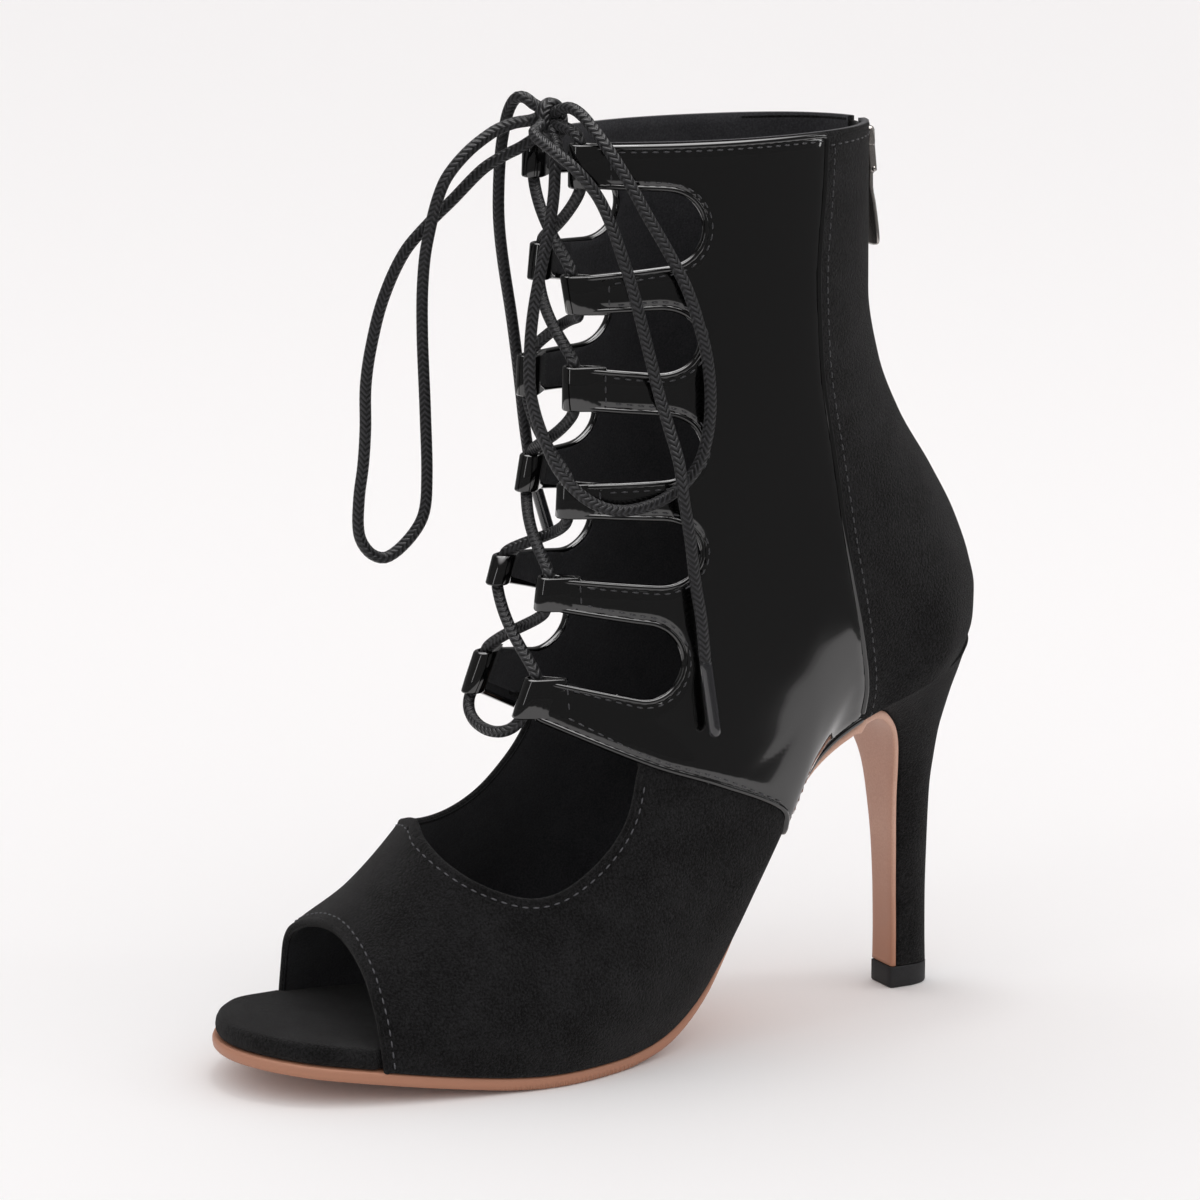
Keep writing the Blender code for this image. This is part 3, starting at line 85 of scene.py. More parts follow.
# breast, breast height, breast half width, leather, back, back height, half width
HEEL_ROWS = (
    (0.810, 0.800, 0.262, 1.60, 0.9920, 0.994, 0.296),
    (0.826, 0.806, 0.244, 1.50, 0.9850, 0.958, 0.276),
    (0.837, 0.801, 0.230, 1.40, 0.9790, 0.912, 0.250),
    (0.849, 0.784, 0.212, 1.15, 0.9730, 0.860, 0.215),
    (0.865, 0.745, 0.175, 1.00, 0.9670, 0.800, 0.175),
    (0.876, 0.687, 0.136, 1.00, 0.9610, 0.730, 0.136),
    (0.882, 0.619, 0.106, 1.00, 0.9570, 0.650, 0.107),
    (0.885, 0.533, 0.086, 1.00, 0.9530, 0.550, 0.085),
    (0.889, 0.395, 0.070, 1.00, 0.9515, 0.400, 0.070),
    (0.891, 0.256, 0.064, 1.00, 0.9505, 0.256, 0.064),
    (0.892, 0.138, 0.064, 1.00, 0.9510, 0.138, 0.064),
    (0.892, 0.063, 0.065, 1.00, 0.9520, 0.063, 0.064),
)
# front, front height, back, shaft, sag
SLICES = (
    (0.0005, 0.051, 0.993, 0.003, 1.00), (0.042, 0.088, 0.998, 0.048, 0.93),
    (0.095, 0.134, 0.999, 0.099, 0.84), (0.167, 0.182, 0.991, 0.158, 0.74),
    (0.231, 0.240, 0.972, 0.239, 0.60), (0.287, 0.312, 0.938, 0.335, 0.46),
    (0.324, 0.407, 0.894, 0.445, 0.32), (0.356, 0.522, 0.863, 0.562, 0.18),
    (0.380, 0.642, 0.848, 0.695, 0.08), (0.389, 0.792, 0.848, 0.827, 0.02),
    (0.389, 1.000, 0.848, 1.000, 0.00),
)
STATIONS = (0.05, 0.12, 0.22, 0.35, 0.50, 0.65, 0.80, 0.92)
SHAFT_LOW = (0.119, 0.181, 0.250, 0.312, 0.356, 0.356, 0.306, 0.212)
SHAFT_TOP = (0.119, 0.181, 0.244, 0.300, 0.325, 0.312, 0.269, 0.188)
# level, lateral half widths, medial half widths
GIRTHS = (
    (0.0, (0.275, 0.378, 0.455, 0.500, 0.400, 0.269, 0.300, 0.300),
     (0.281, 0.381, 0.475, 0.500, 0.362, 0.237, 0.275, 0.294)),
    (0.1, (0.275, 0.375, 0.462, 0.512, 0.425, 0.312, 0.325, 0.319),
     (0.300, 0.400, 0.488, 0.512, 0.388, 0.287, 0.312, 0.312)),
    (0.2, (0.244, 0.338, 0.434, 0.488, 0.431, 0.350, 0.344, 0.312),
     (0.319, 0.406, 0.475, 0.494, 0.412, 0.338, 0.338, 0.312)),
    (0.3, (0.212, 0.306, 0.394, 0.444, 0.419, 0.375, 0.350, 0.294),
     (0.262, 0.350, 0.419, 0.450, 0.412, 0.362, 0.344, 0.294)),
    (0.4, (0.181, 0.262, 0.344, 0.400, 0.406, 0.388, 0.350, 0.269),
     (0.225, 0.306, 0.362, 0.400, 0.400, 0.381, 0.350, 0.269)),
    (0.5, (0.138, 0.212, 0.294, 0.356, 0.388, 0.388, 0.344, 0.250),
     (0.175, 0.244, 0.312, 0.362, 0.388, 0.388, 0.344, 0.250)),
    (0.7, SHAFT_LOW, SHAFT_LOW),
    (1.0, SHAFT_TOP, SHAFT_TOP),
)
THROAT_LATERAL = (
    (0.248, 0.284), (0.251, 0.246), (0.269, 0.226), (0.296, 0.211), (0.333, 0.200),
    (0.366, 0.203), (0.400, 0.218), (0.436, 0.244), (0.463, 0.277), (0.482, 0.328),
)
THROAT_MEDIAL = (
    (0.248, 0.284), (0.262, 0.258), (0.289, 0.245), (0.320, 0.240), (0.350, 0.242),
    (0.378, 0.251), (0.402, 0.265), (0.424, 0.285), (0.446, 0.310), (0.460, 0.338),
    (0.450, 0.360), (0.430, 0.369),
)
QUARTER_SEAM = (
    (0.746, 1.030), (0.741, 0.950), (0.729, 0.835), (0.732, 0.752), (0.746, 0.654),
    (0.759, 0.552), (0.783, 0.436), (0.795, 0.367), (0.790, 0.300),
)
QUARTER_EDGE = ((0.496, 0.326), (0.579, 0.298), (0.664, 0.261), (0.668, 0.235))
# top along, bottom along, top, bottom, from the collar down
FINGERS_LATERAL = (
    (0.426, 0.426, 0.9985, 0.951), (0.418, 0.424, 0.858, 0.816), (0.420, 0.419, 0.760, 0.712),
    (0.412, 0.409, 0.634, 0.596), (0.388, 0.382, 0.533, 0.496), (0.368, 0.351, 0.424, 0.381),
)
FINGERS_MEDIAL = (
    (0.426, 0.424, 0.990, 0.951), (0.440, 0.434, 0.878, 0.838), (0.414, 0.412, 0.759, 0.714),
    (0.424, 0.415, 0.647, 0.606), (0.376, 0.362, 0.543, 0.512), (0.355, 0.336, 0.436, 0.391),
)
# rear, top, bottom, from the collar down
CUTOUTS_LATERAL = (
    (0.570, 0.947, 0.868), (0.565, 0.820, 0.753), (0.566, 0.706, 0.637),
    (0.563, 0.592, 0.523), (0.538, 0.480, 0.400),
)
CUTOUTS_MEDIAL = (
    (0.579, 0.945, 0.874), (0.569, 0.825, 0.757), (0.549, 0.709, 0.647),
    (0.546, 0.596, 0.528), (0.512, 0.486, 0.418),
)
CUTOUT_NOSE = 0.044
PEEP_CUT = 0.139
LOOP_REACH = 0.0085
LOOP_SKIN = 0.0012
LACE_CLEARANCE = 0.0004
FOLD_SINK = 0.0014

# Free stretches of the lace, in millimetres
BOW_LOOP_MEDIAL = (
    (-3.0, -17.8, 232.8), (-5.3, -20.3, 230.6), (-8.0, -23.1, 228.6), (-12.0, -27.3, 224.9),
    (-17.0, -33.5, 216.8), (-20.0, -38.5, 211.0), (-23.0, -44.1, 203.4), (-26.0, -48.6, 191.6),
    (-28.0, -51.2, 179.0), (-29.0, -52.3, 169.0), (-29.0, -52.5, 157.9), (-29.0, -53.2, 149.0),
    (-29.0, -54.5, 140.0), (-29.0, -54.5, 130.9), (-28.0, -52.0, 126.2), (-27.0, -48.0, 124.8),
    (-25.5, -42.5, 129.0), (-24.0, -38.8, 135.4), (-23.8, -37.8, 144.4), (-23.8, -38.1, 162.1),
    (-22.5, -39.4, 182.2), (-20.0, -40.4, 195.7), (-17.0, -40.5, 206.7), (-12.0, -38.6, 221.4),
    (-9.0, -34.2, 228.9), (-7.5, -27.0, 234.5), (-5.1, -22.5, 236.8), (-2.7, -18.8, 237.6),
)
BOW_LOOP_LATERAL = (
    (4.1, -15.5, 234.2), (6.6, -16.0, 231.9), (9.0, -17.8, 228.7), (11.5, -19.6, 220.7),
    (13.6, -22.2, 211.7), (14.8, -25.0, 202.6), (15.0, -27.1, 193.0), (15.0, -28.1, 184.0),
    (15.0, -28.2, 174.1), (15.7, -27.2, 167.5), (17.0, -25.3, 160.8), (19.0, -22.2, 152.9),
    (21.1, -16.8, 146.3), (23.1, -11.4, 143.0), (25.2, -5.9, 142.3), (28.0, 0.4, 144.1),
    (30.0, 6.4, 148.0), (30.9, 11.0, 153.6), (31.2, 13.3, 161.0), (31.2, 14.1, 169.5),
    (31.0, 13.3, 179.2), (30.5, 11.9, 186.0), (29.0, 8.8, 196.8), (27.2, 4.3, 206.6),
    (25.4, -0.8, 216.0), (23.2, -5.0, 224.6), (20.3, -8.6, 231.8), (16.4, -10.6, 236.5),
    (12.0, -12.1, 240.2), (8.3, -13.3, 241.6), (5.0, -14.1, 240.9),
)
END_LATERAL = (
    (2.5, -19.0, 236.3), (3.9, -21.1, 235.5), (6.6, -21.6, 234.5), (10.2, -21.2, 233.2),
    (14.5, -19.6, 230.8), (18.0, -16.8, 227.5), (20.3, -12.2, 221.2), (22.0, -9.4, 214.5),
    (23.5, -7.2, 207.0), (24.6, -4.9, 199.2), (25.8, -2.7, 189.7), (26.8, -0.9, 181.4),
    (28.3, 1.0, 171.7), (30.2, 2.9, 163.1), (32.4, 4.5, 154.6), (33.6, 5.2, 145.7),
    (33.5, 7.1, 135.5), (33.2, 8.8, 124.0), (33.8, 10.2, 114.8), (34.5, 11.0, 104.3),
)
END_MEDIAL = (
    (-3.6, -17.6, 241.7), (-5.1, -19.0, 243.1), (-7.6, -20.1, 242.8), (-10.5, -20.7, 239.6),
    (-12.9, -20.8, 234.7), (-15.0, -20.7, 229.0), (-17.5, -20.1, 220.0), (-19.7, -19.0, 210.5),
    (-22.1, -16.7, 200.0), (-24.8, -12.8, 184.0), (-26.8, -9.8, 169.0), (-28.4, -7.5, 156.0),
    (-29.8, -5.0, 143.7),
)
AGLETS = {
    "lateral": ((34.5, 11.1, 103.7), (36.0, 13.1, 85.3)),
    "medial": ((-29.9, -4.8, 143.1), (-31.2, 1.2, 125.6)),
}
KNOT_CENTRE = (0.0, -0.0145, 0.2380)
KNOT_HALF = (0.0050, 0.0040, 0.0055)

# Back zip
ZIP_HALF = 0.0022
ZIP_BOTTOM = 0.51
SLIDER_TOP = 0.2313
SLIDER_FACE = 0.075468
PIN = (0.077568, 0.2202)
PULL_ROWS = (
    (0.05, 2.2), (0.22, 2.2), (0.30, 2.5), (0.42, 3.3), (0.62, 3.95), (0.80, 4.2),
    (0.92, 4.0), (0.98, 3.3), (1.00, 2.4),
)
PULL_LENGTH = 0.0200
PULL_HALF = 0.0007
PULL_KICK = 0.0014

# Leather edges and stitching
EDGE_WIDTH = 0.0009
PATENT_TOP = 0.00075
STITCH_INSET = 0.0023
STITCH_LENGTH = 0.0019
STITCH_GAP = 0.0008
STITCH_PROUD = 0.35
THREAD_START = 0.0008
THREAD_MARGIN = 0.0014
HEM_CLEARANCE = 0.0014
EDGE_OUT = 0.0002
EDGE_IN = 0.0001
COLLAR_RUN = 0.235

# Insole, behind the outline at the open toe and between the walls, and the heel's breast
TOE_TUCK = 0.0008
WALL_TUCK = 0.0027
TOE_MARGIN = 0.0014
INSOLE_TOE = 0.0052
INSOLE_SEAT = 0.0030
INSOLE_WALL = 0.0024
BREAST_LEATHER = 0.0016

# Spacing of mesh points and rows
FINE = 0.0008
LACE_STEP = 0.0012
SHEET_STEP = 0.0011
SHARES = (0.2, 0.4, 0.6, 0.8)
DOME_ANGLES = (90.0, 65.0, 40.0, 18.0)
KEPT_SHARE = 0.995
RIDGE_ANGLE = 0.02


class Side(Enum):
    """The two sides of the boot, as the sign of X."""

    LATERAL = 1
    MEDIAL = -1

    @property
    def label(self) -> str:
        """The side's name in piece names."""
        return self.name.lower()


FINGERS = {Side.LATERAL: FINGERS_LATERAL, Side.MEDIAL: FINGERS_MEDIAL}
CUTOUTS = {Side.LATERAL: CUTOUTS_LATERAL, Side.MEDIAL: CUTOUTS_MEDIAL}
THROATS = {Side.LATERAL: THROAT_LATERAL, Side.MEDIAL: THROAT_MEDIAL}


# Small tools


def linear(code: str) -> tuple[float, float, float, float]:
    """Turns an sRGB hex colour to linear RGBA.

    Args:
        code: six hex digits after a hash sign.

    Returns:
        The linear colour with alpha 1.
    """
    parts = [int(code[i : i + 2], 16) / 255 for i in (1, 3, 5)]
    flat = [p / 12.92 if p <= 0.04045 else ((p + 0.055) / 1.055) ** 2.4 for p in parts]
    return (flat[0], flat[1], flat[2], 1.0)


def cubic(
    t: Array, start: Array, leaves: Array, end: Array, arrives: Array
) -> Array:
    """Points of a cubic between two ends with the given tangents.

    Args:
        t: a column of shares from 0 to 1.
        start: the first end.
        leaves: the tangent there.
        end: the last end.
        arrives: the tangent there.

    Returns:
        One point for each share.
    """
    return (
        start * (1 + 2 * t) * (1 - t) ** 2
        + leaves * t * (1 - t) ** 2
        + end * t * t * (3 - 2 * t)
        + arrives * t * t * (t - 1)
    )


def shares(count: int) -> Array:
    """A column of even shares from 0 to 1."""
    return np.linspace(0, 1, count)[:, None]


def smooth(xs: Sequence[float], ys: Sequence, x: Array) -> Array:
    """Monotone cubic through a table, which never overshoots a row.

    Args:
        xs: places of the rows.
        ys: values of the rows.
        x: places to read.

    Returns:
        One row of values for each place.
    """
    xs = np.asarray(xs, float)
    ys = np.asarray(ys, float).reshape(len(xs), -1)
    step = np.diff(xs)[:, None]
    slope = np.diff(ys, axis=0) / step
    tangent = np.zeros_like(ys)
    tangent[0], tangent[-1] = slope[0], slope[-1]
    before, after = slope[:-1], slope[1:]
    same = before * after > 0
    weight_a = 2 * step[1:] + step[:-1]
    weight_b = step[1:] + 2 * step[:-1]
    safe_a = np.where(same, before, 1.0)
    safe_b = np.where(same, after, 1.0)
    harmonic = (weight_a + weight_b) / (weight_a / safe_a + weight_b / safe_b)
    tangent[1:-1] = np.where(same, harmonic, 0.0)
    x = np.clip(np.atleast_1d(np.asarray(x, float)), xs[0], xs[-1])
    i = np.clip(np.searchsorted(xs, x, side="right") - 1, 0, len(xs) - 2)
    h = (xs[i + 1] - xs[i])[:, None]
    t = (x - xs[i])[:, None] / h
    return cubic(t, ys[i], h * tangent[i], ys[i + 1], h * tangent[i + 1])


def along(share: float) -> float:
    """Y of a share of the length, measured from the toe tip."""
    return (share - 0.5) * LENGTH


def trace(table: Sequence) -> Array:
    """Side view points (y, z) of a table of shares of the length and the collar height."""
    return np.array([(along(a), h * COLLAR_HEIGHT) for a, h in table])


def unit(vectors: Array) -> Array:
    """Vectors of length one."""
    size = np.linalg.norm(vectors, axis=-1, keepdims=True)
    return vectors / np.maximum(size, 1e-12)


def reach(path: Array) -> Array:
    """Distance of each point of a path from its start."""
    return np.concatenate([[0.0], np.cumsum(np.linalg.norm(np.diff(path, axis=0), axis=1))])


def read(at: Array, place: Array, rows: Array) -> Array:
    """Rows read by straight lines between their places."""
    return np.stack([np.interp(at, place, axis) for axis in rows.T], axis=-1)


def spread(rows: Array, count: int) -> Array:
    """Unit vectors read at evenly spread places, as many as the count."""
    at = np.linspace(0, len(rows) - 1, count)
    return unit(read(at, np.arange(len(rows)), rows))


def steps(place: Array, step: float) -> Array:
    """Evenly spread distances about a step apart, over the length of a path."""
    return np.linspace(0, place[-1], max(int(round(place[-1] / step)), 2) + 1)


def resample(points: Array, step: float, closed: bool = False) -> Array:
    """Points a step apart along a polyline, corners kept only as near as the step allows.

    Args:
        points: the polyline.
        step: distance between the new points, about.
        closed: whether the last point joins the first.

    Returns:
        The new points.
    """
    points = np.asarray(points, float)
    if closed:
        points = np.vstack([points, points[:1]])
    place = reach(points)
    result = read(steps(place, step), place, points)
    return result[:-1] if closed else result


def curved(points: Sequence, step: float) -> Array:
    """Points a step apart on a smooth curve through the given ones.

    Args:
        points: the points that the curve passes.
        step: distance between the new points, about.

    Returns:
        The new points.
    """
    route = np.asarray(points, float)
    place = reach(route)
    runs = np.diff(place)
    tangent = np.zeros_like(route)
    tangent[1:-1] = (route[2:] - route[:-2]) / (place[2:] - place[:-2])[:, None]
    tangent[0] = (route[1] - route[0]) / runs[0]
    tangent[-1] = (route[-1] - route[-2]) / runs[-1]
    at = steps(place, step)
    i = np.clip(np.searchsorted(place, at, side="right") - 1, 0, len(runs) - 1)
    h = runs[i][:, None]
    t = (at - place[i])[:, None] / h
    return cubic(t, route[i], h * tangent[i], route[i + 1], h * tangent[i + 1])


def relaxed(points: Array, rounds: int) -> Array:
    """A polyline with its kinks eased, its ends kept.

    Args:
        points: the polyline.
        rounds: how often each point is moved towards its neighbours.

    Returns:
        The eased polyline.
    """
    points = np.array(points, float)
    for _ in range(rounds):
        points[1:-1] = (points[:-2] + 2 * points[1:-1] + points[2:]) / 4
    return points


def offset(points: Array, distance: float) -> Array:
    """A side view polyline moved to its left by a distance, its folded corners left out.

    Args:
        points: the polyline.
        distance: how far it moves, to its right if negative.

    Returns:
        The moved polyline, without the points that came too near the old one.
    """
    points = np.asarray(points, float)
    run = tangents(points, False)
    moved = points + np.stack([-run[:, 1], run[:, 0]], axis=1) * distance
    start = points[:-1]
    span = np.diff(points, axis=0)
    size = np.maximum((span**2).sum(axis=1), 1e-14)
    share = ((moved[:, None] - start[None]) * span[None]).sum(axis=2) / size
    near = start[None] + np.clip(share, 0, 1)[..., None] * span[None]
    gaps = np.linalg.norm(moved[:, None] - near, axis=2).min(axis=1)
    return moved[gaps > abs(distance) * KEPT_SHARE]


def tangents(path: Array, closed: bool) -> Array:
    """Unit tangents of a path.

    Args:
        path: the path.
        closed: whether the path closes.

    Returns:
        One unit vector for each point.
    """
    if closed:
        return unit(np.roll(path, -1, axis=0) - np.roll(path, 1, axis=0))
    return unit(np.gradient(path, axis=0))


def carried_normals(path: Array, closed: bool) -> Array:
    """Normals carried along a path without twist, with the twist spread if it closes.

    Args:
        path: the path.
        closed: whether the path closes.

    Returns:
        One unit normal for each point.
    """
    runs = tangents(path, closed)
    normal = Vector(runs[0]).orthogonal().normalized()
    result = []
    for run in runs:
        run = Vector(run)
        normal = (normal - run * normal.dot(run)).normalized()
        result.append(normal.copy())
    if closed:
        run = Vector(runs[0])
        last = (result[-1] - run * result[-1].dot(run)).normalized()
        twist = math.atan2(last.cross(result[0]).dot(run), last.dot(result[0]))
        for i, item in enumerate(result):
            turn = Matrix.Rotation(twist * i / len(result), 3, Vector(runs[i]))
            result[i] = turn @ item
    return np.array([tuple(item) for item in result])


# Meshes


def finish_mesh(
    name: str, work: bmesh.types.BMesh, materials: Sequence, closed: bool = True
) -> Object:
    """Turns a bmesh into a smooth shaded object at the origin.

    Args:
        name: the piece's name.
        work: the bmesh, freed here.
        materials: its materials, by slot.
        closed: whether the faces can be turned outwards by themselves.

    Returns:
        The new object.
    """
    if closed:
        bmesh.ops.recalc_face_normals(work, faces=work.faces)
    for face in work.faces:
        face.smooth = True
    mesh = bpy.data.meshes.new(name)
    work.to_mesh(mesh)
    work.free()
    for material in materials:
        mesh.materials.append(material)
    obj = bpy.data.objects.new(name, mesh)
    bpy.context.scene.collection.objects.link(obj)
    return obj


def lofted(
    name: str,
    places: Array,
    materials: Sequence,
    close_rows: bool = False,
    lengths: Array | None = None,
    inner_from: int | None = None,
    caps: bool = False,
) -> Object:
    """A grid laid over rows of points, each row closed on itself.

    Args:
        name: the piece's name.
        places: points by row and column.
        materials: its materials.
        close_rows: whether the last row joins the first.
        lengths: the UV map's V for each row.
        inner_from: first row whose faces take the second material.
        caps: whether open end rows are filled.

    Returns:
        The new object.
    """
    rows, columns = places.shape[:2]
    high = rows + close_rows
    if lengths is None:
        lengths = np.arange(high, dtype=float)
    work = bmesh.new()
    bmesh.ops.create_grid(work, x_segments=columns, y_segments=high - 1, size=0.5)
    layer = work.loops.layers.uv.new("UVMap")
    spots = {}
    for vert in work.verts:
        j = round((vert.co.x + 0.5) * columns)
        i = round((vert.co.y + 0.5) * (high - 1))
        spots[vert] = (i, j)
        vert.co = places[i % rows, j % columns]
    for face in work.faces:
        top = min(spots[vert][0] for vert in face.verts)
        if inner_from is not None and top >= inner_from:
            face.material_index = 1
        for loop in face.loops:
            i, j = spots[loop.vert]
            loop[layer].uv = (j / columns, lengths[i])
    bmesh.ops.remove_doubles(work, verts=work.verts, dist=1e-7)
    if caps:
        open_edges = [edge for edge in work.edges if edge.is_boundary]
        bmesh.ops.holes_fill(work, edges=open_edges, sides=0)
    return finish_mesh(name, work, materials)


def swept(
    name: str,
    centres: Array,
    normals: Array,
    half: tuple,
    material: Material,
    sides: int = 12,
    closed: bool = False,
    pitch: float = 0.0015,
) -> Object:
    """An oval bead or a round lace along a path, with domed ends.

    Args:
        name: the piece's name.
        centres: the path.
        normals: the section's upright direction at each point.
        half: half height along the normal and half width across it, each one number
            or one for each point.
        material: its material.
        sides: points round the section.
        closed: whether the path closes.
        pitch: length of one unit of the UV map's V.

    Returns:
        The new object.
    """
    runs = tangents(centres, closed)
    across = unit(np.cross(runs, normals))
    upright = np.cross(across, runs)
    high, wide = (np.broadcast_to(size, len(centres)).astype(float) for size in half)
    if not closed:
        dome = min(high[0], wide[0])
        phis = np.radians(DOME_ANGLES)
        head = centres[0] - runs[0] * (np.sin(phis)[:, None] * dome)
        tail = centres[-1] + runs[-1] * (np.sin(phis[::-1])[:, None] * dome)
        centres = np.vstack([head, centres, tail])
        across, upright = (
            np.vstack([axis[:1]] * len(phis) + [axis] + [axis[-1:]] * len(phis))
            for axis in (across, upright)
        )
        shrink = np.cos(phis)
        shrink[0] = 0.0
        high = np.concatenate([high[0] * shrink, high, high[-1] * shrink[::-1]])
        wide = np.concatenate([wide[0] * shrink, wide, wide[-1] * shrink[::-1]])
    turns = np.linspace(0, 2 * math.pi, sides, endpoint=False)
    places = (
        centres[:, None]
        + upright[:, None] * (np.cos(turns)[None, :, None] * high[:, None, None])
        + across[:, None] * (np.sin(turns)[None, :, None] * wide[:, None, None])
    )
    lengths = reach(centres)
    if closed:
        last = np.linalg.norm(centres[0] - centres[-1])
        whole = lengths[-1] + last
        pitch = whole / max(round(whole / pitch), 1)
        lengths = np.append(lengths, whole)
    return lofted(name, places, [material], close_rows=closed, lengths=lengths / pitch)


def lace_tube(name: str, path: Array, material: Material, closed: bool = False) -> Object:
    """A stretch of round lace along a path."""
    normals = carried_normals(path, closed)
    return swept(name, path, normals, (LACE / 2, LACE / 2), material, sides=16, closed=closed)


def prism(outline: Array, x_from: float, x_to: float) -> Object:
    """A cutter: a side view outline extruded along X.

    Args:
        outline: (y, z) points.
        x_from: where it starts.
        x_to: where it ends.

    Returns:
        The closed cutter.
    """
    work = bmesh.new()
    face = work.faces.new([work.verts.new((x_from, y, z)) for y, z in outline])
    grown = bmesh.ops.extrude_face_region(work, geom=[face])
    moved = [item for item in grown["geom"] if isinstance(item, bmesh.types.BMVert)]
    bmesh.ops.translate(work, vec=(x_to - x_from, 0, 0), verts=moved)
    return finish_mesh("cutter", work, [])


def block(centre: Sequence[float], size: Sequence[float]) -> Object:
    """A box shaped cutter.

    Args:
        centre: the box's centre.
        size: its length along each axis.

    Returns:
        The closed cutter.
    """
    work = bmesh.new()
    place = Matrix.Translation(Vector(centre)) @ Matrix.Diagonal((*size, 1.0))
    bmesh.ops.create_cube(work, size=1.0, matrix=place)
    return finish_mesh("cutter", work, [])


def cut(obj: Object, cutters: Sequence[Object]) -> None:
    """Cuts helper solids out of an object, then removes them.

    Args:
        obj: the object to cut.
        cutters: closed helper solids.
    """
    for cutter in cutters:
        modifier = obj.modifiers.new("cut", "BOOLEAN")
        modifier.operation = "DIFFERENCE"
        modifier.solver = "EXACT"
        modifier.object = cutter
    graph = bpy.context.evaluated_depsgraph_get()
    mesh = bpy.data.meshes.new_from_object(obj.evaluated_get(graph))
    obj.modifiers.clear()
    obj.data = mesh
    mesh.name = obj.name
    for cutter in cutters:
        bpy.data.objects.remove(cutter, do_unlink=True)


def stitches(
    name: str,
    paths: Sequence[tuple[Array, Array]],
    material: Material,
    half: tuple[float, float] = (0.00019, 0.00023),
) -> Object:
    """Rows of thread stitches lying on a surface.

    Args:
        name: the piece's name.
        paths: a path and its surface normals for each row.
        material: the thread.
        half: half height and half width of a stitch.

    Returns:
        The new object.
    """
    work = bmesh.new()
    for path, normals in paths:
        place = reach(path)
        count = int(place[-1] // (STITCH_LENGTH + STITCH_GAP))
        for k in range(count):
            at = (k + 0.5) * place[-1] / count
            middle = Vector(read(at, place, path))
            start, end = (
                Vector(read(at + shift, place, path))
                for shift in (-STITCH_LENGTH / 2, STITCH_LENGTH / 2)
            )
            run = (end - start).normalized()
            up = Vector(read(at, place, normals))
            up = (up - run * up.dot(run)).normalized()
            turn = Matrix((run, up.cross(run), up)).transposed().to_4x4()
            size = Matrix.Diagonal((STITCH_LENGTH / 2, half[1], half[0], 1.0))
            spot = Matrix.Translation(middle + up * half[0] * STITCH_PROUD)
            bmesh.ops.create_icosphere(
                work, subdivisions=1, radius=1.0, matrix=spot @ turn @ size
            )
    return finish_mesh(name, work, [material])


# The foot's form


